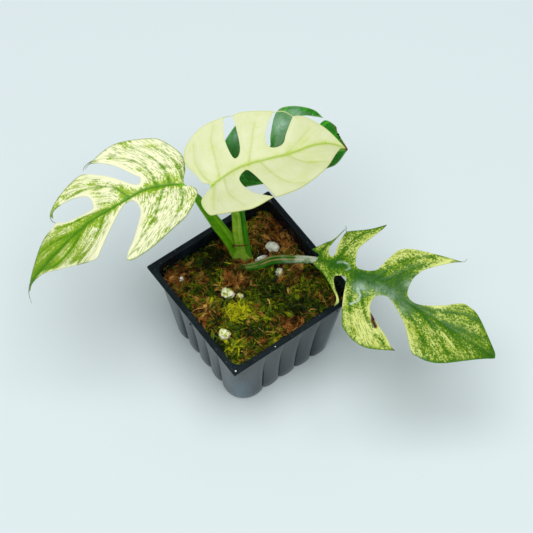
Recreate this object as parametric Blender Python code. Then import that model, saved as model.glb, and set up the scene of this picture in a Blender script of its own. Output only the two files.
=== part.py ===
"""A small variegated aroid house plant with four cut leaves, in its square fluted nursery pot.

The pot's underside is at z = 0 and its middle is the origin. X and Y run along the pot's sides. Sizes below
are in millimetres and become metres when a mesh is made.
"""

import math

import bpy
import numpy as np
from mathutils import Vector, noise
from mathutils.geometry import delaunay_2d_cdt

MM = 0.001
GAP = 0.3

# Pot
POT_HEIGHT = 64.0
RIM_HALF = 45.0
RIM_THICKNESS = 1.3
RIM_CORNER = 1.0
WALL = 1.2
FLOOR = 1.6
MOUTH_HALF = 41.0
MOUTH_CORNER = 6.0
BASE_HALF = 37.0
BASE_CORNER = 13.0
FOOT_ROUND = 1.2
BODY_LEVELS = (20.0, 34.0, 48.0, 58.0)
FLUTE_DEPTH = 2.2
FLUTE_VALLEYS = (-0.486, -0.162, 0.162, 0.486)
FLUTE_STEPS = (-0.8, -0.45, 0.0, 0.45, 0.8, 1.0)
COLUMN_RISE = 0.12
CORNER_STEPS = 6
DRAIN_RADIUS = 4.0
DRAIN_PLACE = 20.0

# Growing medium
MOSS_LEVEL = 54.5
MOSS_TILT = 0.022
MOUND_HEIGHT = 2.2
MOUND_RADIUS = 26.0
HUMMOCK = 1.5
HUMMOCK_PITCH = 9.0
TUFT = 0.5
TUFT_PITCH = 4.5
MOSS_GRID = 2.8

# Crown: the plant's middle, and the direction along which its leaf stalks stand side by side
CROWN = Vector((-19.2, 7.2, 0.0))
CROWN_ROW = Vector((0.589, 0.808, 0.0))
STEM_HALF_WIDTH = 7.0
STEM_HALF_DEPTH = 3.2
STEM_FOOT = 40.0
STEM_TOP = 61.0

# Blades
BLADE_THICKNESS = 0.7
RIB_THICKNESS = 0.9
RIB_WIDTH = 1.5
OUTLINE_STEP = 2.8
BLADE_GRID = 6.0

# Perlite grains: middle x and y, half-length, half-width, height
PERLITE = (
    ("perlite_back", -15.0, 26.0, 4.2, 3.2, 4.0),
    ("perlite_slab", -13.0, 17.0, 3.8, 1.8, 2.6),
    ("perlite_curl", 1.5, 19.0, 2.8, 2.2, 3.0),
    ("perlite_left_small", -29.5, -31.0, 1.7, 1.5, 2.0),
    ("perlite_middle", -4.0, -15.0, 4.4, 3.2, 3.4),
    ("perlite_middle_small", 1.5, -10.0, 2.2, 2.0, 2.6),
    ("perlite_front", 17.0, -32.5, 3.8, 3.4, 3.6),
)

# Each blade lies on its own sheet. x runs from the stalk to the tip, y to the left of it, both in the flat.
# The outline is a ring of smooth runs. Each run starts at a sharp point and ends where the next one starts.
LEFT_LEAF = {
    "base": (-40.0, -18.0, 138.0),
    "yaw": -101.5,
    "pitch": -23.5,
    "length": 106.5,
    "arch": 14.0,
    "fold": 0.12,
    "rib": ((0, 0), (7, -3), (20, -6), (38, -5), (60, -4.5), (80, -2), (107, -0.5)),
    "outline": (
        # Notch, round the back lobe to its tip
        ((0, 0), (-1.5, -4), (-4.5, -9), (-6.5, -17), (-4.5, -24), (-0.5, -31), (5.5, -35), (22.5, -39.5),
         (39, -36)),
        # First gap and second lobe
        ((44, -34), (39, -35), (29.5, -28.5), (21, -17), (19, -14), (20, -11.5), (23.5, -11.5), (32.5, -21.5),
         (39, -27), (45.5, -31.5), (51.5, -32), (65.5, -28.5), (74.5, -23.5)),
        # Second gap
        ((74.5, -20), (71.5, -23.5), (60, -23), (50, -18.5), (49.5, -11.5), (53, -10.5), (66, -12.5)),
        # End lobe to its drip tip
        ((74, -16.5), (86.5, -13.5), (97.5, -7.5), (107.5, -0.5)),
        # Front edge of the end lobe
        ((109.5, 3), (105.5, 0.5), (96, 2), (88, 6.5), (68.5, 16.5), (61, 19)),
        # Third gap and front lobe
        ((58.5, 18), (48.5, 9), (38, 0), (33.5, -3), (29.5, -3.5), (27, -1), (26.5, 4), (28, 9), (36.5, 21),
         (41.5, 26)),
        # Front lobe back to the notch
        ((45, 31), (40.5, 33), (27, 31), (10, 23.5), (3.5, 19), (-4.5, 8.5), (-3, 2.5), (-0.5, 1.5)),
    ),
}
CREAM_LEAF = {
    "base": (-24.5, -10.0, 148.0),
    "yaw": 74.0,
    "pitch": -1.5,
    "length": 80.5,
    "arch": 6.0,
    "fold": 0.28,
    "rib": ((0, 0), (5, 2), (22, 4.5), (45, 3), (64, 4.5), (73.5, 3.5), (80, 0)),
    "outline": (
        # Notch and back lobe
        ((-0.5, -0.5), (0, 1.5), (-3.5, 4.5), (-5.5, 10), (-9, 19), (-5.5, 27), (6, 33.5)),
        # First gap
        ((20, 34.5), (18.5, 32), (16, 21.5), (17.5, 10.5), (22.5, 14.5)),
        # Second lobe
        ((25, 33.5), (30.5, 33.5), (44, 30)),
        # Second gap
        ((47.5, 28.5), (42, 22.5), (38.5, 17), (37.5, 12.5), (39, 9.5), (43, 8.5), (47, 10), (50.5, 15)),
        # End lobe to the tip
        ((57.5, 23.5), (64, 22), (74, 13)),
        # Front edge of the end lobe
        ((81, -0.5), (78, -0.5), (74, -4), (61.5, -16), (44, -24.5)),
        # Front gap
        ((29, -26), (26, -11.5), (23, -1), (20.5, 1), (15.5, -4), (18.5, -16)),
        # Front lobe back to the notch
        ((28, -25), (17.5, -27.5), (10.5, -26.5), (-3, -20.5), (-7.5, -17.5), (-8, -6.5)),
    ),
}
GREEN_LEAF = {
    "base": (-36.5, 15.5, 128.0),
    "yaw": 65.5,
    "pitch": -1.5,
    "length": 66.0,
    "arch": 6.0,
    "fold": 0.24,
    "rib": ((0, 0.5), (14.5, -2.5), (36.5, -3.5), (66, 0.5)),
    "outline": (
        # Notch and back lobe
        ((0, 0.5), (-5, 9), (-5.5, 14.5), (-2.5, 18.5), (4.5, 24.5), (9.5, 27), (15, 27.5)),
        # First gap and arched lobe
        ((21, 26.5), (14, 17), (15.5, 5.5), (18.5, 4), (21.5, 7), (23, 13.5), (29, 26), (38.5, 28),
         (50.5, 25)),
        # Second gap and end lobe to the tip
        ((55.5, 20), (42.5, 21.5), (37.5, 15), (40, 11.5), (44.5, 11.5), (50, 14), (56.5, 18.5), (62, 15),
         (62.5, 11)),
        # Front edge of the end lobe
        ((66.5, 1), (57.5, -10), (50.5, -13.5)),
        # Front gap
        ((33.5, -18.5), (25, -9), (21.5, -9), (20.5, -13)),
        # Front lobe back to the notch
        ((24, -18.5), (2.5, -15.5), (-1.5, -13), (-3.5, -8), (-3, -3)),
    ),
}
RIGHT_LEAF = {
    "base": (17.5, 34.5, 79.0),
    "yaw": 22.0,
    "pitch": -1.5,
    "length": 119.5,
    "arch": 12.0,
    "fold": 0.10,
    "rib": ((0, 0), (13.5, 2), (36.5, -0.5), (57.5, -1.5), (92, -1.5), (118, -0.5)),
    "outline": (
        # Flat end where the stalk joins
        ((-0.5, 1), (-0.5, 3.5)),
        # First lobe
        ((-6.5, 5.5), (-1.5, 12), (2, 16)),
        # First gap
        ((4.5, 24.5), (2.5, 12.5), (3, 8.5), (5.5, 5.5), (7.5, 5), (8, 7.5), (6.5, 13), (6, 20)),
        # Second lobe
        ((6.5, 23.5), (18, 30)),
        # Second gap and third lobe
        ((25.5, 36.5), (24.5, 32), (19.5, 19), (19, 14), (23, 5.5), (27.5, 4), (35.5, 7.5), (38, 17.5),
         (43, 27), (63, 33.5)),
        # Third gap and shoulder of the end lobe
        ((76, 37), (71.5, 33.5), (61, 22.5), (58, 17), (57, 11), (59.5, 2), (67.5, 0.5), (79.5, 7.5),
         (88, 15), (93, 16), (100, 14.5), (113.5, 6), (118.5, 2.5)),
        # Tip, front edge and front gap
        ((120, 0), (111.5, -8.5), (98, -23), (90, -28), (84, -29), (79.5, -28.5), (69.5, -17.5), (63, -12),
         (51.5, -5), (46.5, -5.5), (44, -8.5), (44, -13.5), (46.5, -18.5), (56, -25), (62.5, -28.5),
         (68, -32.5)),
        # Fourth lobe, narrow gap and narrow lobe
        ((71.5, -33.5), (62.5, -39), (55.5, -41.5), (48.5, -41), (40.5, -37.5), (36, -33), (28.5, -18.5),
         (23.5, -6.5), (20.5, -4.5), (16, -7), (20, -13.5), (27.5, -21.5)),
        # Narrow lobe back to the stalk
        ((27, -26), (25.5, -21), (21.5, -17), (9, -8), (3, -5.5)),
        ((-1, -3), (0.5, -1.5)),
    ),
}

# Leaf stalks: the place in the row of stalks on the stem, then the route's points and the half-widths
LEFT_STALK = {
    "row": -4.2,
    "route": ((-24.0, 2.5, 72.0), (-29.0, -2.5, 90.0), (-33.0, -9.0, 112.0), (-36.5, -14.0, 128.0)),
    "half_widths": (2.8, 3.2, 3.1, 2.6, 1.8, 1.4),
    "half_depths": (1.6, 1.7, 1.7, 1.6, 1.5, 1.3),
}
CREAM_STALK = {
    "row": 0.9,
    "route": ((-19.0, 6.0, 85.0), (-20.0, 3.5, 112.0), (-21.0, -2.0, 131.0), (-22.8, -7.0, 142.0)),
    "half_widths": (2.0, 1.9, 1.8, 1.6, 1.4, 1.3),
    "half_depths": (1.8, 1.8, 1.7, 1.6, 1.4, 1.3),
}
GREEN_STALK = {
    "row": 4.9,
    "route": ((-18.0, 10.0, 82.0), (-22.0, 10.0, 104.0), (-27.5, 11.5, 119.0), (-33.5, 14.5, 124.5)),
    "half_widths": (1.6, 1.6, 1.5, 1.4, 1.3, 1.3),
    "half_depths": (1.6, 1.5, 1.5, 1.4, 1.3, 1.3),
}
RIGHT_STALK = {
    "route": ((-18.5, -1.0, 46.0), (-18.5, -1.0, 53.0), (-16.0, 0.5, 58.0), (-12.0, 4.0, 60.5),
              (-9.0, 9.0, 62.0), (-8.0, 14.0, 64.5), (-4.0, 19.5, 68.5), (4.5, 25.5, 72.5),
              (12.0, 30.5, 76.0)),
    "half_widths": (1.4, 1.7, 1.8, 1.8, 1.8, 1.8, 1.8, 1.7, 1.7, 1.6),
    "half_depths": (1.4, 1.5, 1.6, 1.6, 1.6, 1.6, 1.5, 1.5, 1.4, 1.3),
    "hole_radius": 2.2,
}
STALK_SIDES = 10
STALK_STEPS = 3
UP = Vector((0.0, 0.0, 1.0))
BACKWARD = Vector((-0.808, 0.589, 0.0))


def clear_scene():
    for item in list(bpy.data.objects):
        bpy.data.objects.remove(item, do_unlink=True)


def material(name, colour, roughness):
    finish = bpy.data.materials.new(name)
    finish.use_nodes = True
    shader = finish.node_tree.nodes["Principled BSDF"]
    shader.inputs["Base Color"].default_value = (*colour, 1.0)
    shader.inputs["Roughness"].default_value = roughness
    shader.inputs["Metallic"].default_value = 0.0
    finish.diffuse_color = (*colour, 1.0)
    return finish


def add_object(name, points, faces, finish, smooth_angle=40.0):
    """A mesh object from points in millimetres."""
    mesh = bpy.data.meshes.new(name)
    mesh.from_pydata([tuple(c * MM for c in point) for point in points], [], faces)
    mesh.materials.append(finish)
    mesh.shade_smooth()
    mesh.set_sharp_from_angle(angle=math.radians(smooth_angle))
    made = bpy.data.objects.new(name, mesh)
    bpy.context.scene.collection.objects.link(made)
    return made


def cut(target, name, points, faces, finish):
    """Take a closed cutter out of a target for good."""
    cutter = add_object(name, points, faces, finish)
    cutter.hide_render = True
    cutter.display_type = "WIRE"
    modifier = target.modifiers.new(name, "BOOLEAN")
    modifier.operation = "DIFFERENCE"
    modifier.object = cutter


def smooth_run(points, steps_for):
    """Catmull-Rom curve through the points, without its last point."""
    ends = [2 * points[0] - points[1], *points, 2 * points[-1] - points[-2]]
    curve = []
    for before, start, end, after in zip(ends, ends[1:], ends[2:], ends[3:]):
        steps = steps_for(start, end)
        for step in range(steps):
            t = step / steps
            curve.append(0.5 * (2 * start + (end - before) * t
                                + (2 * before - 5 * start + 4 * end - after) * t * t
                                + (3 * start - before - 3 * end + after) * t * t * t))
    return curve


def pot_section(half, corner, flute):
    """Points round the pot at one level, anticlockwise, with the flutes' valleys pressed inwards."""
    side = [(FLUTE_VALLEYS[0], 1.0)]
    pitch = (FLUTE_VALLEYS[1] - FLUTE_VALLEYS[0]) / 2
    for valley in FLUTE_VALLEYS[:-1]:
        for step in FLUTE_STEPS:
            side.append((valley + pitch + step * pitch, abs(step)))
    for step in (0.6, 0.0):
        side.append((FLUTE_VALLEYS[-1] + (1 - step) * COLUMN_RISE, step))
    points = []
    straight = half - corner
    for turn in range(4):
        ring = []
        mirrored = [(-along, depth) for along, depth in side[-2:]][::-1]
        for along, depth in mirrored + side:
            inset = flute * (1 - math.sqrt(1 - depth * depth))
            ring.append((along * half, -half + inset))
        for step in range(CORNER_STEPS + 1):
            angle = math.radians(-90 + 90 * step / CORNER_STEPS)
            ring.append((straight + corner * math.cos(angle), -straight + corner * math.sin(angle)))
        c, s = (1, 0, -1, 0)[turn], (0, 1, 0, -1)[turn]
        points += [(c * x - s * y, s * x + c * y) for x, y in ring]
    return points


def flute_at(z):
    """The flutes are deep at the foot and fade out below the rim."""
    fade = min(max((58.0 - z) / 38.0, 0.0), 1.0)
    return 0.15 + (FLUTE_DEPTH - 0.15) * fade * fade * (3 - 2 * fade)


def body_at(z, wall):
    """Half-width, corner radius and flute depth of the pot's body at a height, taken in by a wall."""
    share = z / (POT_HEIGHT - RIM_THICKNESS)
    half = BASE_HALF + (MOUTH_HALF + WALL - BASE_HALF) * share
    corner = BASE_CORNER + (MOUTH_CORNER + WALL - BASE_CORNER) * share
    return half - wall, corner - wall, flute_at(z)


def rings_to_solid(rings, low_cap=True, high_cap=True):
    """Side faces between rings of equal length, with caps. Walls that rise and fall are split alike, so two
    fluted skins that lie one inside the other stay clear."""
    count = len(rings[0])
    points = [point for ring in rings for point in ring]
    faces = []
    for level in range(len(rings) - 1):
        for i in range(count):
            j = (i + 1) % count
            a, b = level * count + i, level * count + j
            c, d = b + count, a + count
            rising = rings[level][0][2] <= rings[level + 1][0][2]
            faces += [(a, b, c), (a, c, d)] if rising else [(a, b, d), (b, c, d)]
    if low_cap:
        faces.append(tuple(range(count))[::-1])
    if high_cap:
        last = (len(rings) - 1) * count
        faces.append(tuple(range(last, last + count)))
    return points, faces


def make_pot(finish):
    half, corner, flute = body_at(0.0, FOOT_ROUND)
    levels = [(0.0, half, corner, flute)]
    levels += [(z, *body_at(z, 0.0)) for z in (FOOT_ROUND, *BODY_LEVELS)]
    under_rim = POT_HEIGHT - RIM_THICKNESS
    levels.append((under_rim, *body_at(under_rim, 0.0)))
    levels += [(under_rim, RIM_HALF, RIM_CORNER, 0.0), (POT_HEIGHT, RIM_HALF, RIM_CORNER, 0.0)]
    levels.append((POT_HEIGHT, MOUTH_HALF + 0.4, MOUTH_CORNER, 0.0))
    levels += [(z, *body_at(z, WALL)) for z in (POT_HEIGHT - 1.0, *BODY_LEVELS[::-1])]
    half, corner, flute = body_at(FLOOR, WALL)
    levels.append((FLOOR, half, corner, flute))
    rings = [[(x, y, z) for x, y in pot_section(h, c, f)] for z, h, c, f in levels]
    points, faces = rings_to_solid(rings)
    pot = add_object("pot", points, faces, finish, 35.0)
    for number, (sx, sy) in enumerate(((1, 1), (-1, 1), (-1, -1), (1, -1))):
        circle = [(math.cos(a), math.sin(a)) for a in np.linspace(0, math.tau, 16, endpoint=False)]
        hole = [[(sx * DRAIN_PLACE + DRAIN_RADIUS * c, sy * DRAIN_PLACE + DRAIN_RADIUS * s, z)
                 for c, s in circle] for z in (-1.0, FLOOR + 1.0)]
        cut(pot, f"drain_cutter_{number}", *rings_to_solid(hole), finish)
    return pot


def moss_relief(x, y):
    """Height of the moss: higher at the near corner, mounded, with hummocks and tufts."""
    mound = MOUND_HEIGHT * math.exp(-((x - 4) ** 2 + (y + 6) ** 2) / MOUND_RADIUS ** 2)
    hummock = noise.noise(Vector((x / HUMMOCK_PITCH, y / HUMMOCK_PITCH, 0.3)))
    tuft = noise.noise(Vector((x / TUFT_PITCH, y / TUFT_PITCH, 7.1)))
    return MOSS_LEVEL + MOSS_TILT * (x - y) + mound + HUMMOCK * hummock + TUFT * tuft


def seats():
    """Flat places in the moss: middle, half-sizes and level, for the stem, a stalk and each grain."""
    places = [(CROWN.x, CROWN.y, STEM_HALF_WIDTH + 2.0, STEM_HALF_WIDTH + 2.0, MOSS_LEVEL - 0.5)]
    for _, x, y, half_long, half_wide, _ in PERLITE:
        places.append((x, y, half_long, half_long, moss_relief(x, y)))
    return places


def moss_height(x, y):
    """The relief, levelled off where something stands on it."""
    height = moss_relief(x, y)
    for px, py, half_x, half_y, level in seats():
        away = math.hypot((x - px), (y - py)) - max(half_x, half_y)
        keep = min(max((away - MOSS_GRID * 1.1) / 3.0, 0.0), 1.0)
        height = level + (height - level) * keep * keep * (3 - 2 * keep)
    return height


def triangulate(outline, extra):
    """Triangles that fill an outline, with the extra points used inside it."""
    flat = list(outline) + list(extra)
    edges = [(i, (i + 1) % len(outline)) for i in range(len(outline))]
    points, _, triangles, origins, _, _ = delaunay_2d_cdt([Vector(p) for p in flat], edges, [], 0, 1e-5, True)
    if len(points) != len(flat):
        raise RuntimeError("the outline crosses itself")
    filled = []
    for triangle in triangles:
        corners = [origins[i][0] for i in triangle]
        centre = (sum(flat[i][0] for i in corners) / 3, sum(flat[i][1] for i in corners) / 3)
        if inside(outline, centre, 0.0):
            filled.append(tuple(corners))
    return filled


def inside(outline, point, margin):
    """Whether a point lies in the outline and at least a margin from its corners."""
    x, y = point
    hit = False
    for (x0, y0), (x1, y1) in zip(outline, outline[1:] + outline[:1]):
        if (y0 > y) != (y1 > y) and x < x0 + (y - y0) * (x1 - x0) / (y1 - y0):
            hit = not hit
        dx, dy = x1 - x0, y1 - y0
        t = min(max(((x - x0) * dx + (y - y0) * dy) / (dx * dx + dy * dy), 0.0), 1.0)
        if math.hypot(x - x0 - t * dx, y - y0 - t * dy) < margin:
            return False
    return hit


def make_growing_medium(finish):
    low = [(z, *body_at(z, WALL + GAP)) for z in (FLOOR + GAP, *BODY_LEVELS[:-1])]
    rings = [[(x, y, z) for x, y in pot_section(h, c, f)] for z, h, c, f in low]
    half, corner, flute = body_at(MOSS_LEVEL - 3.0, WALL + GAP)
    edge = pot_section(half, corner, flute)
    rings.append([(x, y, moss_height(x, y) - 1.2) for x, y in edge])
    count = len(edge)
    points, faces = rings_to_solid(rings, high_cap=False)
    steps = np.arange(-half, half, MOSS_GRID)
    grid = [(float(x), float(y)) for x in steps for y in steps if inside(edge, (x, y), MOSS_GRID * 0.6)]
    top = (len(rings) - 1) * count
    triangles = triangulate(edge, grid)
    points += [(x, y, moss_height(x, y)) for x, y in grid]
    faces += [tuple(top + i for i in triangle) for triangle in triangles]
    medium = add_object("growing_medium", points, faces, finish, 60.0)
    stem_hole = stem_rings(((STEM_FOOT - GAP, GAP), (STEM_TOP + 5.0, GAP)))
    cut(medium, "stem_hole_cutter", *rings_to_solid(stem_hole), finish)
    x, y, foot = RIGHT_STALK["route"][0]
    circle = [(math.cos(a), math.sin(a)) for a in np.linspace(0, math.tau, 16, endpoint=False)]
    radius = RIGHT_STALK["hole_radius"]
    hole = [[(x + radius * c, y + radius * s, z) for c, s in circle] for z in (foot - GAP, STEM_TOP)]
    cut(medium, "stalk_hole_cutter", *rings_to_solid(hole), finish)
    return medium


def stem_rings(levels):
    """Oval rings of the stem, each grown or shrunk by a distance."""
    across = UP.cross(CROWN_ROW)
    rings = []
    for z, grown in levels:
        ring = []
        for angle in np.linspace(0, math.tau, 24, endpoint=False):
            place = (CROWN + CROWN_ROW * ((STEM_HALF_WIDTH + grown) * math.cos(angle))
                     + across * ((STEM_HALF_DEPTH + grown) * math.sin(angle)) + UP * z)
            ring.append(tuple(place))
        rings.append(ring)
    return rings


def make_stem(finish):
    levels = ((STEM_FOOT, -0.8), (STEM_FOOT + 1.0, 0.0), (STEM_TOP - 3.0, 0.0), (STEM_TOP - 0.5, 0.0),
              (STEM_TOP, -0.3))
    return add_object("stem", *rings_to_solid(stem_rings(levels)), finish)


def make_perlite(name, x, y, half_long, half_wide, height, finish):
    """A crumb with a flat underside on its seat and a lumpy top."""
    seat = moss_relief(x, y) + GAP
    sides, levels = 12, 4
    rings = []
    turn = noise.noise(Vector((x, y, 0.5))) * math.pi
    for level in range(levels):
        rise = level / levels
        shrink = math.sqrt(1 - (rise * 0.9) ** 2)
        ring = []
        for step in range(sides):
            angle = math.tau * step / sides
            lump = 1 + 0.16 * noise.noise(Vector((math.cos(angle) * 1.7 + x, math.sin(angle) * 1.7, rise * 2)))
            u = half_long * shrink * lump * math.cos(angle)
            v = half_wide * shrink * lump * math.sin(angle)
            ring.append((x + u * math.cos(turn) - v * math.sin(turn),
                         y + u * math.sin(turn) + v * math.cos(turn), seat + rise * height))
        rings.append(ring)
    points, faces = rings_to_solid(rings, high_cap=False)
    points.append((x, y, seat + height))
    top = (levels - 1) * sides
    faces += [(top + i, top + (i + 1) % sides, len(points) - 1) for i in range(sides)]
    return add_object(name, points, faces, finish, 60.0)


class Blade:
    """One leaf blade: its flat outline and the curved sheet that it lies on."""

    def __init__(self, leaf):
        yaw, pitch = math.radians(leaf["yaw"]), math.radians(leaf["pitch"])
        self.base = Vector(leaf["base"])
        self.along = Vector((math.cos(yaw) * math.cos(pitch), math.sin(yaw) * math.cos(pitch), math.sin(pitch)))
        self.left = Vector((-math.sin(yaw), math.cos(yaw), 0.0))
        self.normal = self.along.cross(self.left)
        self.leaf = leaf
        rib = smooth_run([Vector(p) for p in leaf["rib"]], lambda a, b: 4) + [Vector(leaf["rib"][-1])]
        self.rib_x = [p.x for p in rib]
        self.rib_y = [p.y for p in rib]
        self.outline = []
        runs = leaf["outline"]
        for run, following in zip(runs, runs[1:] + runs[:1]):
            points = [Vector(p) for p in run] + [Vector(following[0])]
            curve = smooth_run(points, lambda a, b: max(1, round((b - a).length / OUTLINE_STEP)))
            self.outline += [tuple(p) for p in curve]

    def from_rib(self, x, y):
        return y - float(np.interp(x, self.rib_x, self.rib_y))

    def point(self, x, y, lift=0.0):
        """A flat point carried onto the sheet: arched along the leaf and folded up beside the midrib."""
        share = x / self.leaf["length"]
        away = self.from_rib(x, y)
        height = self.leaf["arch"] * 4 * share * (1 - share)
        height += self.leaf["fold"] * (math.hypot(away, 3.0) - 3.0)
        return self.base + self.along * x + self.left * y + self.normal * (height + lift)

    def facing(self, x, y):
        """The sheet's own upward direction at a flat point."""
        ahead = self.point(x + 0.5, y) - self.point(x - 0.5, y)
        aside = self.point(x, y + 0.5) - self.point(x, y - 0.5)
        return ahead.cross(aside).normalized()

    def thickness_below(self, x, y):
        return BLADE_THICKNESS / 2 + RIB_THICKNESS * math.exp(-(self.from_rib(x, y) / RIB_WIDTH) ** 2)

    def inner_points(self):
        """A grid of points inside the outline, with rows along the midrib."""
        xs = [p[0] for p in self.outline]
        ys = [p[1] for p in self.outline]
        rib_rows = []
        for x in np.arange(1.5, self.leaf["length"] - 2.0, BLADE_GRID * 0.8):
            for side in (-2.2, 0.0, 2.2):
                y = float(np.interp(x, self.rib_x, self.rib_y)) + side
                rib_rows.append((float(x), y))
        points = [p for p in rib_rows if inside(self.outline, p, 0.7)]
        for x in np.arange(min(xs), max(xs), BLADE_GRID):
            for y in np.arange(min(ys), max(ys), BLADE_GRID):
                place = (float(x), float(y))
                if abs(self.from_rib(*place)) > BLADE_GRID * 0.8 and inside(self.outline, place, 1.4):
                    points.append(place)
        return points

    def make(self, name, finish):
        """Both faces carry the same triangles, so a curved blade never crosses itself."""
        inner = self.inner_points()
        triangles = triangulate(self.outline, inner)
        flat = self.outline + inner
        upper, lower = [], []
        for x, y in flat:
            middle, up = self.point(x, y), self.facing(x, y)
            upper.append(tuple(middle + up * (BLADE_THICKNESS / 2)))
            lower.append(tuple(middle - up * self.thickness_below(x, y)))
        count, edge = len(flat), len(self.outline)
        faces = list(triangles)
        faces += [tuple(count + i for i in triangle[::-1]) for triangle in triangles]
        area = sum(x0 * y1 - x1 * y0 for (x0, y0), (x1, y1)
                   in zip(self.outline, self.outline[1:] + self.outline[:1]))
        for i in range(edge):
            j = (i + 1) % edge
            wall = (i, count + i, count + j, j)
            faces.append(wall if area > 0 else wall[::-1])
        return add_object(name, upper + lower, faces, finish, 50.0)


def make_stalk(name, route, half_widths, half_depths, back, finish, last=None):
    """An oval tube along a smooth route. back is the direction across which it is widest."""
    points = [Vector(p) for p in route]
    curve = smooth_run(points, lambda a, b: STALK_STEPS) + [points[-1]]
    places = np.linspace(0, 1, len(curve))
    knots = np.linspace(0, 1, len(half_widths))
    rings = []
    for i, middle in enumerate(curve):
        ahead = curve[min(i + 1, len(curve) - 1)] - curve[max(i - 1, 0)]
        if i == 0:
            ahead = UP
        if i == len(curve) - 1 and last is not None:
            ahead = last
        ahead = ahead.normalized()
        side = ahead.cross(back).normalized()
        depth = side.cross(ahead).normalized()
        half_width = float(np.interp(places[i], knots, half_widths))
        half_depth = float(np.interp(places[i], knots, half_depths))
        ring = []
        for angle in np.linspace(0, math.tau, STALK_SIDES, endpoint=False):
            ring.append(tuple(middle + side * (half_width * math.cos(angle))
                              - depth * (half_depth * math.sin(angle))))
        rings.append(ring)
    return add_object(name, *rings_to_solid(rings), finish, 60.0)


def upright_stalk(name, stalk, blade, finish):
    """A stalk that stands on the stem and meets its blade from below, under the midrib."""
    foot = CROWN + CROWN_ROW * stalk["row"] + UP * (STEM_TOP + GAP)
    joint_x, joint_y = 1.2, float(np.interp(1.2, blade.rib_x, blade.rib_y))
    facing = blade.facing(joint_x, joint_y)
    end = blade.point(joint_x, joint_y) - facing * (blade.thickness_below(joint_x, joint_y) + GAP + 0.05)
    route = [tuple(foot), *stalk["route"], tuple(end)]
    return make_stalk(name, route, stalk["half_widths"], stalk["half_depths"], BACKWARD, finish, facing)


def level_stalk(name, stalk, blade, finish):
    """The stalk that rises out of the moss, crosses it and meets the right blade end on."""
    end = blade.point(-1.0, -0.2, -0.2)
    heading = blade.point(1.0, 0.0) - blade.point(-1.0, 0.0)
    route = [*stalk["route"], tuple(end)]
    return make_stalk(name, route, stalk["half_widths"], stalk["half_depths"], BACKWARD + UP, finish, heading)


def build():
    clear_scene()
    black = material("moulded_black_plastic", (0.018, 0.021, 0.024), 0.45)
    moss = material("moss_and_peat", (0.10, 0.08, 0.02), 0.95)
    white = material("expanded_perlite", (0.75, 0.76, 0.70), 0.9)
    stalk_green = material("leaf_stalk_green", (0.10, 0.24, 0.04), 0.5)
    left_skin = material("cream_leaf_flecked_green", (0.45, 0.55, 0.18), 0.45)
    cream_skin = material("cream_leaf", (0.80, 0.82, 0.50), 0.45)
    green_skin = material("glossy_green_leaf", (0.03, 0.16, 0.04), 0.35)
    right_skin = material("chartreuse_leaf_mottled_green", (0.25, 0.40, 0.07), 0.45)

    make_pot(black)
    make_growing_medium(moss)
    make_stem(stalk_green)
    for grain in PERLITE:
        make_perlite(*grain, white)

    left, cream = Blade(LEFT_LEAF), Blade(CREAM_LEAF)
    green, right = Blade(GREEN_LEAF), Blade(RIGHT_LEAF)
    left.make("leaf_left", left_skin)
    cream.make("leaf_cream", cream_skin)
    green.make("leaf_green", green_skin)
    right.make("leaf_right", right_skin)
    upright_stalk("stalk_left", LEFT_STALK, left, stalk_green)
    upright_stalk("stalk_cream", CREAM_STALK, cream, stalk_green)
    upright_stalk("stalk_green", GREEN_STALK, green, stalk_green)
    level_stalk("stalk_right", RIGHT_STALK, right, stalk_green)


build()
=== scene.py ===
# %% [markdown]
# # A potted mini monstera
# A young variegated climbing aroid stands in a square black nursery pot. The solids of the CAD frame give
# every main shape. This lesson dresses them: thin glossy blades with veins and flecks, grooved stalks,
# a bed of moss fronds, chalky perlite and satin plastic with dust on it.

# %% Load the frame
import math

import bmesh
import bpy
import numpy as np
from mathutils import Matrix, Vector, noise
from mathutils.geometry import convex_hull_2d, delaunay_2d_cdt


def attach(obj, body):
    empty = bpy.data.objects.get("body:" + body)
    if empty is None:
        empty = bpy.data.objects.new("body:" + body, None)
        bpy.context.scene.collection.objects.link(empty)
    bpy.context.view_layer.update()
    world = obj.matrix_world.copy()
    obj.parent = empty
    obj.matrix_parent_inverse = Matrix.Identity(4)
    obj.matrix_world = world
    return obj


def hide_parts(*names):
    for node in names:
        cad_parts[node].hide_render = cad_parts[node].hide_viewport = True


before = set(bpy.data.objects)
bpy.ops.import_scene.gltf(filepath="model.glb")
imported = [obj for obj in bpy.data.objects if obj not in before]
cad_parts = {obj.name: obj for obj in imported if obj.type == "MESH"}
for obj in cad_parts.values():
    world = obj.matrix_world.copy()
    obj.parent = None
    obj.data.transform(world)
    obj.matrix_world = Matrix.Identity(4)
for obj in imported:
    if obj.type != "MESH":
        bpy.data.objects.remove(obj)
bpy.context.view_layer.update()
MM = 0.001
UP = Vector((0.0, 0.0, 1.0))
print("nodes in the frame:", len(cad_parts))

# %% [markdown]
# Colours are read off a screen as sRGB hex, but a shader works in linear light, so one function turns them.
# A material is a small graph. One function adds a node with its settings, its inputs and, for a colour
# ramp, its stops. An input is a number, a hex colour, another node or one of its outputs.

# %% Colours and nodes


def linear(code):
    """An sRGB hex colour as linear red, green, blue and alpha."""
    parts = [int(code[i:i + 2], 16) / 255 for i in (1, 3, 5)]
    return (*[p / 12.92 if p <= 0.04045 else ((p + 0.055) / 1.055) ** 2.4 for p in parts], 1.0)


def plug(node, inputs):
    """Fill inputs of a node. A node given as an input stands for its first output in use."""
    for socket, value in inputs.items():
        if isinstance(value, bpy.types.Node):
            value = next(output for output in value.outputs if output.enabled)
        if isinstance(value, bpy.types.NodeSocket):
            node.id_data.links.new(value, node.inputs[socket])
        else:
            node.inputs[socket].default_value = linear(value) if isinstance(value, str) else value


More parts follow.
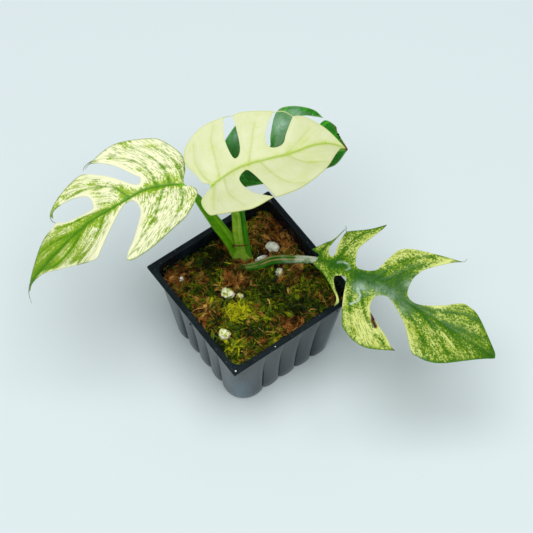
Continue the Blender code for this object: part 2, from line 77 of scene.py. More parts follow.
def add(tree, kind, inputs=None, stops=(), **settings):
    """Add a node with its settings, inputs and ramp stops."""
    made = tree.nodes.new("ShaderNode" + kind)
    for name, value in settings.items():
        setattr(made, name, value)
    plug(made, inputs or {})
    for i, (place, colour) in enumerate(stops):
        ramp = made.color_ramp
        stop = ramp.elements[i] if i < len(ramp.elements) else ramp.elements.new(place)
        stop.position = place
        stop.color = linear(colour)
    return made


def start_material(name, roughness, specular):
    """A new material, with the tree and the shader to link to."""
    made = bpy.data.materials.new(name)
    made.use_nodes = True
    shader = made.node_tree.nodes["Principled BSDF"]
    plug(shader, {"Roughness": roughness, "Specular IOR Level": specular})
    return made, made.node_tree, shader


def patchy_skin(name, roughness, specular, patch, detail, stops):
    """A material whose colour changes in patches of a size in millimetres, and its parts to build on."""
    made, tree, shader = start_material(name, roughness, specular)
    place = add(tree, "TexCoord").outputs["Object"]
    patches = add(tree, "TexNoise", {"Vector": place, "Scale": 1000 / patch, "Detail": detail})
    plug(shader, {"Base Color": add(tree, "ValToRGB", {"Fac": patches}, stops)})
    return made, tree, shader, place, patches


print("middle grey on a screen, as light:", round(linear("#808080")[0], 3))

# %% [markdown]
# Most round or square pieces here grow the way a hand modeller grows them: a circle is added, then
# extruded ring by ring, and each new ring is moved to its own place. A whole number on each corner
# remembers its place in the ring, so the ring can be moved exactly.

# %% Grow a piece from rings


def grow(name, rings):
    """Extrude a circle through rings of equal length, and keep each corner's ring and turn."""
    bpy.ops.object.select_all(action="DESELECT")
    bpy.ops.mesh.primitive_circle_add(vertices=len(rings[0]), radius=0.01, fill_type="NGON")
    made = bpy.context.object
    made.name = name
    bpy.ops.object.mode_set(mode="EDIT")
    mesh = bmesh.from_edit_mesh(made.data)
    turn = mesh.verts.layers.int.new("turn")
    level = mesh.verts.layers.int.new("level")
    for i, corner in enumerate(mesh.verts):
        corner[turn] = i
        corner.co = rings[0][i]
    for number, ring in enumerate(rings[1:], 1):
        bmesh.update_edit_mesh(made.data)
        bpy.ops.mesh.extrude_region_move()
        mesh = bmesh.from_edit_mesh(made.data)
        turn = mesh.verts.layers.int["turn"]
        level = mesh.verts.layers.int["level"]
        for corner in mesh.verts:
            if corner.select:
                corner.co = ring[corner[turn]]
                corner[level] = number
    bmesh.update_edit_mesh(made.data)
    bpy.ops.mesh.select_all(action="SELECT")
    bpy.ops.mesh.normals_make_consistent(inside=False)
    bpy.ops.object.mode_set(mode="OBJECT")
    bpy.ops.object.transform_apply(location=True, rotation=True, scale=True)
    return made


def read_numbers(piece, name):
    """A number kept on each of the piece's corners, as an array."""
    data = piece.data.attributes[name].data
    values = np.zeros(len(data), dtype=np.float32)
    data.foreach_get("value", values)
    return values


def smooth_curve(points, steps_for):
    """A Catmull-Rom curve through the points, without its last point."""
    points = [Vector(p) for p in points]
    ends = [2 * points[0] - points[1], *points, 2 * points[-1] - points[-2]]
    curve = []
    for before, start, end, after in zip(ends, ends[1:], ends[2:], ends[3:]):
        steps = steps_for(start, end)
        for step in range(steps):
            t = step / steps
            curve.append(0.5 * (2 * start + (end - before) * t
                                + (2 * before - 5 * start + 4 * end - after) * t * t
                                + (3 * start - before - 3 * end + after) * t * t * t))
    return curve


BEND = ((0, 0, 0), (1, 0, 0), (1, 1, 0))
print("corners of a bend in steps of a quarter:", len(smooth_curve(BEND, lambda a, b: 4)))

# %% [markdown]
# Other pieces start from a list of places and faces, or are changed by a modifier, which is applied at
# once. A finished piece gets its material, its smooth shading and the body that it rides on, and it says
# which CAD nodes it stands for. Numbers kept on its corners tell a material where it is.

# %% Start, change and finish a piece


def select_only(piece):
    """Make a piece the one selected and active object."""
    bpy.ops.object.select_all(action="DESELECT")
    piece.select_set(True)
    bpy.context.view_layer.objects.active = piece


def new_piece(name, places, faces):
    """A piece from arrays of places in millimetres and of faces."""
    mesh = bpy.data.meshes.new(name)
    mesh.from_pydata((places * MM).tolist(), [], faces.tolist())
    made = bpy.data.objects.new(name, mesh)
    bpy.context.scene.collection.objects.link(made)
    return made


def modify(piece, kind, **settings):
    """Give a piece a modifier and apply it."""
    modifier = piece.modifiers.new(kind.lower(), kind)
    for name, value in settings.items():
        setattr(modifier, name, value)
    select_only(piece)
    bpy.ops.object.modifier_apply(modifier=modifier.name)


def write_numbers(piece, **kept):
    """Keep arrays of one number, or of three, per corner for a material to read."""
    for name, values in kept.items():
        values = np.asarray(values, dtype=np.float32)
        kind, field = ("FLOAT", "value") if values.ndim == 1 else ("FLOAT_VECTOR", "vector")
        piece.data.attributes.new(name, kind, "POINT").data.foreach_set(field, values.ravel())


def hand_over(piece, material, replaced=(), smooth=40):
    """Give a finished piece its material, its body and the nodes that it stands for."""
    select_only(piece)
    piece.data.materials.clear()
    piece.data.materials.append(material)
    bpy.ops.object.shade_smooth_by_angle(angle=math.radians(smooth))
    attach(piece, "root")
    if replaced:
        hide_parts(*replaced)
    print(piece.name, "has", len(piece.data.polygons), "faces")


def near(distance, reach):
    """1 at no distance, fading to almost nothing at twice the reach."""
    return np.exp(-(distance / reach) ** 2)


def patch_sum(patches, x, y):
    """Sum of soft round patches at places given as arrays. Each ends in a place, a radius and a strength."""
    return sum(strength * near(np.hypot(x - px, y - py), radius) for *_, px, py, radius, strength in patches)


print("a patch's strength at its own radius:", round(float(near(1.0, 1.0)), 2))

# %% [markdown]
# The camera looks down at the pot from about 1.2 m with a long lens, which is why the pot's sides lean in
# so little. Its place was worked out from the four corners of the rim.

# %% Camera
EYE = Vector((0.4684, -0.3310, 1.1037))
LOOK = Vector((-0.3953, 0.2884, -0.8722))
LENS = 135.08
camera_data = bpy.data.cameras.new("camera")
camera_data.lens = LENS
camera_data.sensor_width = 36.0
camera = bpy.data.objects.new("camera", camera_data)
bpy.context.scene.collection.objects.link(camera)
camera.location = EYE
camera.rotation_euler = LOOK.to_track_quat("-Z", "Y").to_euler()
bpy.context.scene.camera = camera
print("camera tilt from straight down:", round(math.degrees(math.acos(-LOOK.normalized().z)), 1))

# %% [markdown]
# The plant stands on a pale bluish board under a wide soft light. One large area light overhead gives the
# soft contact shadow beside the pot, and a pale world fills the rest.

# %% Floor and light
bpy.ops.object.select_all(action="DESELECT")
bpy.ops.mesh.primitive_plane_add(size=6.0)
floor = bpy.context.object
floor.name = "pale_floor"
board, tree, shader = start_material("matt_painted_board", 0.75, 0.2)
plug(shader, {"Base Color": "#DAE6EB"})
floor.data.materials.append(board)

KEY_SIZE, KEY_POWER, KEY_PLACE, KEY_AIM = 2.0, 59.5, Vector((0.26, -0.19, 2.4)), Vector((0.0, 0.0, 0.05))
key_data = bpy.data.lights.new("overhead_softbox", "AREA")
key_data.shape = "SQUARE"
key_data.size = KEY_SIZE
key_data.energy = KEY_POWER
key_data.color = linear("#FFFEFA")[:3]
key = bpy.data.objects.new("overhead_softbox", key_data)
bpy.context.scene.collection.objects.link(key)
key.location = KEY_PLACE
key.rotation_euler = (KEY_AIM - KEY_PLACE).to_track_quat("-Z", "Y").to_euler()

WORLD_STRENGTH = 0.27
world = bpy.data.worlds.new("pale_room")
world.use_nodes = True
plug(world.node_tree.nodes["Background"], {"Color": "#F2F7FA", "Strength": WORLD_STRENGTH})
bpy.context.scene.world = world
bpy.context.scene.view_settings.view_transform = "Standard"
print("light", KEY_SIZE, "m wide")

# %% [markdown]
# The pot is thin injection-moulded polypropylene. Its walls are pressed into shallow flutes that are deep at
# the foot and fade below a flat sharp-cornered rim. It could be a cube with booleans, but a ring that
# changes shape as it is extruded follows the flutes exactly. The same values as the solid are repeated,
# with finer steps.

# %% The pot's section at each height
POT_HEIGHT, RIM_HALF, RIM_THICKNESS, RIM_CORNER = 64.0, 45.0, 1.3, 1.0
WALL, BASE_FLOOR, MOUTH_HALF, MOUTH_CORNER = 1.2, 1.6, 41.0, 6.0
BASE_HALF, BASE_CORNER, FOOT_ROUND = 37.0, 13.0, 1.2
FLUTE_DEPTH, FLUTE_LEAST, FLUTE_TOP, FLUTE_FADE = 2.2, 0.15, 58.0, 38.0
FLUTE_VALLEYS = (-0.486, -0.162, 0.162, 0.486)
FLUTE_STEPS = (-0.92, -0.8, -0.62, -0.35, 0.0, 0.35, 0.62, 0.8, 0.92, 1.0)
COLUMN_RISE, COLUMN_STEPS = 0.12, (0.85, 0.6, 0.3, 0.0)
CORNER_STEPS = 12


def pot_section(half, corner, flute):
    """Points round the pot at one level, anticlockwise, with the flutes' valleys pressed inwards."""
    side = [(FLUTE_VALLEYS[0], 1.0)]
    pitch = (FLUTE_VALLEYS[1] - FLUTE_VALLEYS[0]) / 2
    for valley in FLUTE_VALLEYS[:-1]:
        side += [(valley + pitch + step * pitch, abs(step)) for step in FLUTE_STEPS]
    side += [(FLUTE_VALLEYS[-1] + (1 - step) * COLUMN_RISE, step) for step in COLUMN_STEPS]
    mirrored = [(-along, depth) for along, depth in side[-4:]][::-1]
    points = []
    straight = half - corner
    for turn in range(4):
        ring = [(along * half, -half + flute * (1 - math.sqrt(1 - depth * depth)))
                for along, depth in mirrored + side]
        for step in range(CORNER_STEPS + 1):
            angle = math.radians(-90 + 90 * step / CORNER_STEPS)
            ring.append((straight + corner * math.cos(angle), -straight + corner * math.sin(angle)))
        c, s = (1, 0, -1, 0)[turn], (0, 1, 0, -1)[turn]
        points += [(c * x - s * y, s * x + c * y) for x, y in ring]
    return points


def body_at(z, wall):
    """Half-width, corner radius and flute depth of the body at a height, taken in by a wall."""
    share = z / (POT_HEIGHT - RIM_THICKNESS)
    half = BASE_HALF + (MOUTH_HALF + WALL - BASE_HALF) * share
    corner = BASE_CORNER + (MOUTH_CORNER + WALL - BASE_CORNER) * share
    fade = min(max((FLUTE_TOP - z) / FLUTE_FADE, 0.0), 1.0)
    flute = FLUTE_LEAST + (FLUTE_DEPTH - FLUTE_LEAST) * fade * fade * (3 - 2 * fade)
    return half - wall, corner - wall, flute


def pot_rings(levels):
    """Rings in metres for levels of height, half-width, corner radius and flute depth."""
    return [[(x * MM, y * MM, z * MM) for x, y in pot_section(*section)] for z, *section in levels]


print("corners in one ring of the pot:", len(pot_section(*body_at(0.0, 0.0))))

# %% [markdown]
# The rings run up the outside, over the rim and down the inside, so the wall is one closed skin. The first
# three turn round the rounded foot, and short steps at the rim keep its corners sharp but not like a knife.

# %% Grow the pot
levels = [(0.0, *body_at(0.0, FOOT_ROUND))]
for part in (0.3, 0.65):
    lift = FOOT_ROUND * (1 - math.cos(part * math.pi / 2))
    levels.append((lift, *body_at(lift, FOOT_ROUND * (1 - math.sin(part * math.pi / 2)))))
levels += [(z, *body_at(z, 0.0)) for z in (FOOT_ROUND, 8, 14, 20, 27, 34, 41, 48, 53, 58, 62.4)]
under_rim = POT_HEIGHT - RIM_THICKNESS
levels += [(under_rim, MOUTH_HALF + WALL + 0.3, MOUTH_CORNER + WALL, 0.0),
           (under_rim, RIM_HALF - 0.2, RIM_CORNER, 0.0),
           (under_rim + 0.2, RIM_HALF, RIM_CORNER, 0.0),
           (POT_HEIGHT - 0.3, RIM_HALF, RIM_CORNER, 0.0),
           (POT_HEIGHT, RIM_HALF - 0.3, RIM_CORNER, 0.0),
           (POT_HEIGHT, MOUTH_HALF + 0.6, MOUTH_CORNER, 0.0),
           (POT_HEIGHT - 0.3, MOUTH_HALF + 0.2, MOUTH_CORNER, 0.0)]
levels += [(z, *body_at(z, WALL)) for z in (62.7, 58, 53, 48, 41, 34, 20, 8, BASE_FLOOR)]
pot = grow("nursery_pot", pot_rings(levels))
print("pot corners:", len(pot.data.vertices))

# %% [markdown]
# Four drainage holes go through the floor. A cylinder for each is taken out with a Boolean modifier, which
# is then applied.

# %% Drainage holes
DRAIN_RADIUS, DRAIN_PLACE, DRILL_LENGTH = 4.0, 20.0, 6.0
for sx, sy in ((1, 1), (-1, 1), (-1, -1), (1, -1)):
    bpy.ops.object.select_all(action="DESELECT")
    bpy.ops.mesh.primitive_cylinder_add(vertices=32, radius=DRAIN_RADIUS * MM, depth=DRILL_LENGTH * MM,
                                        location=(sx * DRAIN_PLACE * MM, sy * DRAIN_PLACE * MM, 0))
    drill = bpy.context.object
    modify(pot, "BOOLEAN", operation="DIFFERENCE", object=drill)
    bpy.data.objects.remove(drill, do_unlink=True)
print("pot faces after drilling:", len(pot.data.polygons))

# %% [markdown]
# Black polypropylene keeps the smooth skin of its mould, roughness 0.13 to 0.25. Its black has a painted blue
# cast, and its foot and corner columns carry a grey-blue painted reflection of the pale floor, more so
# towards the ground. Watering leaves pale specks of dust, 0.3 to 1 mm across.

# %% Black plastic
DUST_SPECK, SCUFF_LENGTH, MOULD_GRAIN = 1.1, 14.0, 0.8
plastic, tree, shader = start_material("moulded_black_polypropylene", 0.20, 0.26)
place = add(tree, "TexCoord").outputs["Object"]
clouds = add(tree, "TexNoise", {"Vector": place, "Scale": 1000 / SCUFF_LENGTH, "Detail": 5.0})
specks = add(tree, "TexNoise", {"Vector": place, "Scale": 1000 / DUST_SPECK, "Detail": 1.0})
# Near-black in slow clouds. Its blue cast is painted reflection of the pale bluish room.
colour = add(tree, "ValToRGB", {"Fac": clouds}, ((0.35, "#0D161D"), (0.55, "#111C24"), (0.78, "#1B2933")))
dots = add(tree, "MapRange", {"Value": specks, "From Min": 0.73, "From Max": 0.8})
axes = add(tree, "SeparateXYZ", {0: place}).outputs
# Painted reflection of the floor: a grey-blue film on the corner columns, lighter towards the ground.
low = add(tree, "MapRange", {"Value": axes["Z"], "From Min": 50 * MM, "From Max": 5 * MM})
east, north = (add(tree, "Math", {0: axes[axis]}, operation="ABSOLUTE") for axis in ("X", "Y"))
nearer = add(tree, "Math", {0: east, 1: north}, operation="MINIMUM")
column = add(tree, "MapRange", {"Value": nearer, "From Min": 24 * MM, "From Max": 34 * MM, "To Min": 0.12})
painted_reflection = add(tree, "Math", {0: low, 1: column}, operation="MULTIPLY")
for mask, over in ((painted_reflection, "#5A7380"), (dots, "#8E9290")):
    colour = add(tree, "Mix", {0: mask, 6: colour, 7: over}, data_type="RGBA")
gloss = add(tree, "MapRange", {"Value": clouds, "To Min": 0.13, "To Max": 0.25})
grain = add(tree, "TexNoise", {"Vector": place, "Scale": 1000 / MOULD_GRAIN, "Detail": 2.0})
bump = add(tree, "Bump", {"Strength": 0.06, "Distance": 0.0002, "Height": grain})
plug(shader, {"Base Color": colour, "Roughness": gloss, "Normal": bump})
hand_over(pot, plastic, ("pot",), 32)

# %% [markdown]
# The moss bed is mounded near the middle and slopes down to the corner farthest from the camera, with
# hummocks about 9 mm apart and tufts about 4.5 mm apart. One function gives its height, for peat and moss.

# %% The moss bed's height
MOSS_LEVEL, MOSS_TILT, MOUND_HEIGHT, MOUND_RADIUS = 54.5, 0.022, 2.2, 26.0
HUMMOCK, HUMMOCK_PITCH, TUFT, TUFT_PITCH = 1.5, 9.0, 0.5, 4.5
CROWN = Vector((-19.2, 7.2, 0.0))
CROWN_ROW = Vector((0.589, 0.808, 0.0))
ACROSS_ROW = UP.cross(CROWN_ROW)
# Perlite grains: the node, its middle and its half-length
PERLITE = (
    ("perlite_back", -15.0, 26.0, 4.2), ("perlite_slab", -13.0, 17.0, 3.8), ("perlite_curl", 1.5, 19.0, 2.8),
    ("perlite_left_small", -29.5, -31.0, 1.7), ("perlite_middle", -4.0, -15.0, 4.4),
    ("perlite_middle_small", 1.5, -10.0, 2.2), ("perlite_front", 17.0, -32.5, 3.8),
)


def moss_height(x, y):
    """Height of the moss in millimetres: mounded, with hummocks and tufts."""
    mound = MOUND_HEIGHT * math.exp(-((x - 4) ** 2 + (y + 6) ** 2) / MOUND_RADIUS ** 2)
    hummock = noise.noise(Vector((x / HUMMOCK_PITCH, y / HUMMOCK_PITCH, 0.3)))
    tuft = noise.noise(Vector((x / TUFT_PITCH, y / TUFT_PITCH, 7.1)))
    return MOSS_LEVEL + MOSS_TILT * (x - y) + mound + HUMMOCK * hummock + TUFT * tuft


print("moss height at the pot's middle:", round(moss_height(0.0, 0.0), 1), "mm")

# %% [markdown]
# The soil under the moss hardly shows, but light must not pass between the fronds. It is a finer copy of the
# solid's humped top, with lumps pushed up by noise, dark as wet peat with crumbs of 2 to 3 mm.

# %% The peat body
SOIL_DROP, EDGE_DROP, GAP = 0.7, 1.0, 0.3
LUMP_HEIGHT, LUMP_PITCH, PEAT_CRUMB = 0.9, 1.9, 2.5
rings = pot_rings([(z, *body_at(z, WALL + GAP)) for z in (BASE_FLOOR + GAP, 20, 34, 48, 52)])
edge = pot_section(*body_at(51.5, WALL + GAP))
for share in (1.0, 0.97, *np.arange(0.93, 0, -0.05).tolist()):
    drop = SOIL_DROP + (EDGE_DROP if share == 1.0 else 0.0)
    ring = []
    for x, y in edge:
        x, y = x * share, y * share
        lump = LUMP_HEIGHT * noise.noise(Vector((x / LUMP_PITCH, y / LUMP_PITCH, 3.3)))
        ring.append((x * MM, y * MM, (moss_height(x, y) - drop + lump) * MM))
    rings.append(ring)
peat = grow("peat_body", rings)
soil, tree, shader, _, crumbs = patchy_skin("wet_peat", 0.9, 0.25, PEAT_CRUMB, 6.0, (
    (0.3, "#0D0B06"), (0.5, "#1E1A0B"), (0.62, "#2F2A10"), (0.75, "#4A3316")))
plug(shader, {"Normal": add(tree, "Bump", {"Strength": 0.8, "Distance": 0.0012, "Height": crumbs})})
hand_over(peat, soil, ("growing_medium",), 60)

# %% [markdown]
# Live moss is thousands of sprigs, 3 to 9 mm long and 1 to 1.7 mm wide, set with overlapping leaflets. Hair
# particles would be lost in the export, so a few sprigs are modelled once and copied into one mesh per kind,
# each copy turned, bent and tinted on its own. A sprig has only a few dozen faces. An operator can't lay
# such small leaflets, so each sprig is a pair of arrays of corners and faces.

# %% Model one sprig of leaflets and one cord of scales
STEM_HALF = 0.14


def tube_faces(steps, sides):
    """Triangles between rings of corners."""
    faces = []
    for a in range((steps - 1) * sides):
        b = a + 1 if (a + 1) % sides else a + 1 - sides
        faces += [(a, b, b + sides), (a, b + sides, a + sides)]
    return faces


def sprig_arrays(pairs, length, width, arch, cupped):
    """Corners and faces of a sprig along X: a three-sided stem and pointed cupped leaflets."""
    points, faces, tips = [], tube_faces(5, 3), []
    for share in (0.0, 0.25, 0.5, 0.75, 1.0):
        x, z = share * length, arch * 4 * share * (1 - share)
        thick = STEM_HALF * (1 - 0.8 * share)
        for angle in (90, 210, 330):
            turn = math.radians(angle)
            points.append((x, thick * math.cos(turn), z + thick * math.sin(turn)))
            tips.append(share * 0.6)
    for pair in range(pairs):
        for side in (-1, 1):
            share = (pair + 0.5 + 0.22 * side) / pairs
            x, z = share * length, arch * 4 * share * (1 - share)
            swell = 0.55 + 0.45 * math.sin(math.pi * min(share * 1.6, 1))
            reach = width * (1.05 - 0.6 * share ** 2) * swell
            first = len(points)
            for out, aside, up, young in ((0, 0, 0, 0), (0.75, 0.20, 0.4, 0.3), (1.15, 0.85, 1, 0.5),
                                          (0.15, 0.50, 0.2, 0.2)):
                points.append((x + reach * out, side * reach * aside, z + cupped * up))
                tips.append(share * 0.5 + young)
            quad = [first + i for i in (range(4) if side > 0 else (3, 2, 1, 0))]
            faces += [(quad[0], quad[1], quad[2]), (quad[0], quad[2], quad[3])]
    return np.array(points), np.array(faces), np.array(tips)


def cord_arrays(length, width, arch, sway, sides=5, steps=11):
    """Corners and faces of a limp cord of overlapping scales, swollen at each scale."""
    points, tips = [], []
    for step in range(steps):
        share = step / (steps - 1)
        swell = 1.0 if step % 2 else 0.62
        thick = 0.5 * width * swell * (1 - share ** 3 * 0.8)
        x, y, z = share * length, sway * math.sin(share * 4.4), arch * 4 * share * (1 - share)
        for side in range(sides):
            angle = math.tau * (side + 0.5 * (step % 2)) / sides
            points.append((x, y + thick * math.cos(angle), z + thick * 0.8 * math.sin(angle)))
            tips.append(share * 0.7 + 0.15 * (swell - 0.6))
    return np.array(points), np.array(tube_faces(steps, sides)), np.array(tips)


SPRIGS = [sprig_arrays(*kind) for kind in ((6, 6.5, 1.35, 0.9, 0.5), (7, 7.5, 1.5, 1.5, 0.35),
                                           (5, 5.0, 1.5, 0.4, 0.6))]
CORDS = [cord_arrays(*kind) for kind in ((8.0, 0.85, 1.3, 0.9), (10.0, 0.75, 0.8, -1.6), (6.5, 1.1, 1.8, 0.7),
                                         (9.0, 0.65, 2.2, 1.9))]
FIBRES = [cord_arrays(*kind, 3, 6) for kind in ((5.0, 0.34, 1.0, 0.5), (7.0, 0.30, 1.6, -0.9),
                                                (4.0, 0.40, 0.5, 0.8))]
print("faces in a sprig:", len(SPRIGS[0][1]), "in a cord:", len(CORDS[0][1]))

# %% [markdown]
# The bed isn't one colour: a lime patch by the middle, rust-brown dead moss at the back, at the left corner
# and along the near right edge, and dark green between. Painted shade darkens it by the walls, round the
# crown and inside the near right edge. Each patch is a soft round area with a name, a place, a radius and a
# strength, and each sprig takes its tint from the patches round it.

# %% Patches of the moss bed
# Tone patches of live moss. Those named shade are painted shade.
TONE_AND_SHADE_PATCHES = (
    ("lime tuft", 9, -18, 7.5, 0.48), ("lime fringe", 16, -10, 7, 0.30), ("front tuft", 28, -32, 7, 0.10),
    ("left meadow", -20, -22, 10, 0.12), ("dark hollow", 10, 6, 11, -0.17), ("dark front", 24, -16, 8, -0.26),
    ("near right shade", 31, 9, 8, -0.24), ("right meadow", 28, 18, 8, -0.06),
    ("crown shade", -18, 3, 8, -0.30), ("wall shade", -36, 0, 9, -0.26),
    ("left wall shade", -29, -13, 10, -0.26),
)
DEAD_PATCHES = (
    ("back heap", -20, 33, 15, 1.0), ("back left heap", -33, 6, 8, 0.65), ("left corner", -34, -34, 10, 1.0),
    ("left edge", -3, -34, 9, 0.62), ("near right edge", 36, 4, 9, 0.75), ("right corner", 37, 33, 9, 0.40),
    ("right hollow", 6, 27, 8, 0.50), ("front scatter", 36, -22, 8, 0.40),
    ("middle scatter", -8, -6, 9, 0.45), ("left scatter", -20, -22, 7, 0.3), ("crown foot", -17, 2, 7, 0.5),
)
print("moss patches:", len(TONE_AND_SHADE_PATCHES), "live,", len(DEAD_PATCHES), "dead")

# %% [markdown]
# A sprig may start anywhere on the bed but on a grain or in the crown, and it has to end inside the pot. A
# seeded generator draws its place, kind, size, turn, lean and roll, then its height and tint.

# %% Scatter sprigs over the bed
BED_HALF, TIP_LIMIT = 40.2, 40.8
KEEP_OFF_GRAIN = 1.3
CROWN_HALF_WIDTH, CROWN_HALF_DEPTH = 7.5, 3.4
MIDDLE_TONE, DEAD_FROM, DEAD_LIFT = 0.24, 0.34, 0.13
DEAD_WAVE, DEAD_PITCH, TONE_WAVE, TONE_PITCH = 0.45, 6.0, 0.30, 8.0
SMALLEST, LARGEST, ROLL = 0.6, 1.15, 0.5
chance = np.random.default_rng(7)


def anywhere():
    """A place on the whole bed."""
    return chance.uniform(-BED_HALF, BED_HALF, 2)


def before_crown():
    """A place on the strip of moss that is heaped against the crown's foot."""
    along, out = chance.uniform(-8.5, 7.0), chance.uniform(3.4, 4.9)
    return (CROWN + CROWN_ROW * along - ACROSS_ROW * out)[:2]


def turned(angle, first, second):
    """A matrix that turns rows of corners from one axis towards another."""
    turn = np.eye(3)
    turn[first, first] = turn[second, second] = math.cos(angle)
    turn[first, second] = math.sin(angle)
    turn[second, first] = -math.sin(angle)
    return turn


def free_place(x, y):
    """Whether a place lies clear of the perlite grains and the crown."""
    offset = Vector((x, y, 0)) - CROWN
    in_crown = (abs(offset.dot(CROWN_ROW)) < CROWN_HALF_WIDTH
                and abs(offset.cross(CROWN_ROW).z) < CROWN_HALF_DEPTH)
    on_grain = any(math.hypot(x - grain_x, y - grain_y) < half_length * KEEP_OFF_GRAIN
                   for _, grain_x, grain_y, half_length in PERLITE)
    return not in_crown and not on_grain


def scatter(name, kinds, count, lift, lean, material, pick=anywhere):
    """Copy sprigs over the bed, each with its own turn, lean, size, height and tint."""
    points, faces, tips, tones, rusts = [], [], [], [], []
    first = 0
    while len(points) < count:
        x, y = pick()
        if not free_place(x, y):
            continue
        base, triangles, tip = kinds[chance.integers(len(kinds))]
        size = chance.uniform(SMALLEST, LARGEST)
        yaw = chance.uniform(0, math.tau)
        pitch = math.radians(chance.uniform(*lean))
        roll = chance.normal(0, ROLL)
        shaped = base * size @ turned(roll, 1, 2) @ turned(pitch, 0, 2) @ turned(yaw, 0, 1)
        if max(abs(x + shaped[-1][0]), abs(y + shaped[-1][1])) > TIP_LIMIT:
            continue
        depth = chance.uniform(*lift)
        points.append(shaped + np.array([x, y, moss_height(x, y) + depth]))
        faces.append(triangles + first)
        first += len(shaped)
        wave = noise.noise(Vector((x / DEAD_PITCH, y / DEAD_PITCH, 2.0)))
        swell = noise.noise(Vector((x / TONE_PITCH, y / TONE_PITCH, 5.0)))
        dead = patch_sum(DEAD_PATCHES, x, y) + DEAD_WAVE * wave + chance.normal(0, 0.2) > DEAD_FROM
        tone = (MIDDLE_TONE + patch_sum(TONE_AND_SHADE_PATCHES, x, y) + TONE_WAVE * swell + 0.17 * depth
                + chance.normal(0, 0.19) + (DEAD_LIFT if dead else 0.0))
        tips.append(tip)
        tones.append(np.full(len(base), tone))
        rusts.append(np.full(len(base), float(dead)))
    made = new_piece(name, np.concatenate(points), np.concatenate(faces))
    write_numbers(made, tip=np.concatenate(tips), tone=np.clip(np.concatenate(tones), 0, 1),
                  rust=np.concatenate(rusts))
    hand_over(made, material, (), 80)


# %% [markdown]
# Moss has a thin waxy skin, so it is matt with a faint shine, roughness near 0.6. Young tips are yellower
# than old stems, and dead sprigs dry to fox brown.

# %% Moss
MOSS_GRAIN = 1.4
moss, tree, shader = start_material("living_and_dead_moss", 0.6, 0.12)
tone, tip, rust = (add(tree, "Attribute", attribute_name=kept).outputs["Fac"]
                   for kept in ("tone", "tip", "rust"))
place = add(tree, "TexCoord").outputs["Object"]
fine = add(tree, "TexNoise", {"Vector": place, "Scale": 1000 / MOSS_GRAIN, "Detail": 3.0})
lift = add(tree, "Math", {0: tip, 1: 0.30, 2: tone}, operation="MULTIPLY_ADD")
blend = add(tree, "Math", {0: fine, 1: 0.35, 2: lift}, operation="MULTIPLY_ADD")
level = add(tree, "Math", {0: blend, 1: 0.25}, operation="SUBTRACT")
live = add(tree, "ValToRGB", {"Fac": level}, ((0.08, "#121A05"), (0.28, "#263A08"), (0.46, "#46620C"),
                                              (0.66, "#85900E"), (0.92, "#CFCB1C")))
dead = add(tree, "ValToRGB", {"Fac": level}, ((0.08, "#1C0C05"), (0.28, "#56300F"), (0.54, "#985C26"),
                                              (0.92, "#E0B05A")))
plug(shader, {"Base Color": add(tree, "Mix", {0: rust, 6: live, 7: dead}, data_type="RGBA")})

scatter("moss_underlayer", SPRIGS, 1700, (-0.9, 0.0), (-4, 14), moss)
scatter("moss_sprigs", SPRIGS, 1700, (-0.3, 1.0), (0, 36), moss)
scatter("moss_cords", CORDS, 1100, (-0.4, 1.0), (-5, 20), moss)
scatter("moss_fibres", FIBRES, 3200, (0.0, 1.5), (-5, 32), moss)
scatter("crown_collar", CORDS[2:3] + FIBRES, 200, (0.0, 2.4), (5, 50), moss, before_crown)
print("moss colours:", len(live.color_ramp.elements), "live,", len(dead.color_ramp.elements), "dead")

# %% [markdown]
# Perlite is volcanic glass popped by heat: chalk white, rough, with pits below a millimetre. Three crumbs
# that stay wet are stained green by algae.

# %% Perlite skins
PIT, STAIN = 0.9, 2.4
crumb_skins = []
for name, stops in (("expanded_perlite", ((0.32, "#B7BE6A"), (0.42, "#E6E8D8"), (0.7, "#F8F8F4"))),
                    ("perlite_with_algae", ((0.40, "#98A62E"), (0.49, "#D3DA8E"), (0.56, "#F4F4E6")))):
    made, tree, shader, place, _ = patchy_skin(name, 0.9, 0.3, STAIN, 4.0, stops)
    pits = add(tree, "TexVoronoi", {"Vector": place, "Scale": 1000 / PIT})
    plug(shader, {"Normal": add(tree, "Bump", {"Strength": 0.7, "Distance": 0.0004, "Height": pits})})
    crumb_skins.append(made)
chalk, algae = crumb_skins
print("perlite skins:", chalk.name, algae.name)

# %% [markdown]
# Each crumb starts from its CAD node, because that has the crumb's own size and place. A copy is merged,
# subdivided and pushed in and out by noise. The flat one is then drawn out along the way that it lies.

# %% Perlite grains
ALGAE_GRAINS = ("perlite_middle", "perlite_middle_small", "perlite_front")
LUMP, LUMP_SIZE, NOTCH, NOTCH_SIZE, GROWN, CRUMB_RISE = 0.75, 1.6, 0.35, 0.7, 0.15, 0.7
SLAB_MIDDLE = Vector((-12.2, 15.4, 0.0))
SLAB_WAY = Vector((0.16, 0.987, 0.0))
SLAB_HALF_LENGTH, SLAB_HALF_WIDTH, SLAB_RISE = 4.5, 1.5, 1.3


def copy_node(name, copied):
    """A merged copy of a CAD node to work on."""
    source = bpy.data.objects[name]
    made = source.copy()
    made.data = source.data.copy()
    made.name = copied
    for key in list(made.keys()):
        del made[key]
    bpy.context.scene.collection.objects.link(made)
    select_only(made)
    bpy.ops.object.mode_set(mode="EDIT")
    bpy.ops.mesh.select_all(action="SELECT")
    bpy.ops.mesh.remove_doubles(threshold=0.00001)
    bpy.ops.mesh.tris_convert_to_quads()
    bpy.ops.object.mode_set(mode="OBJECT")
    return made


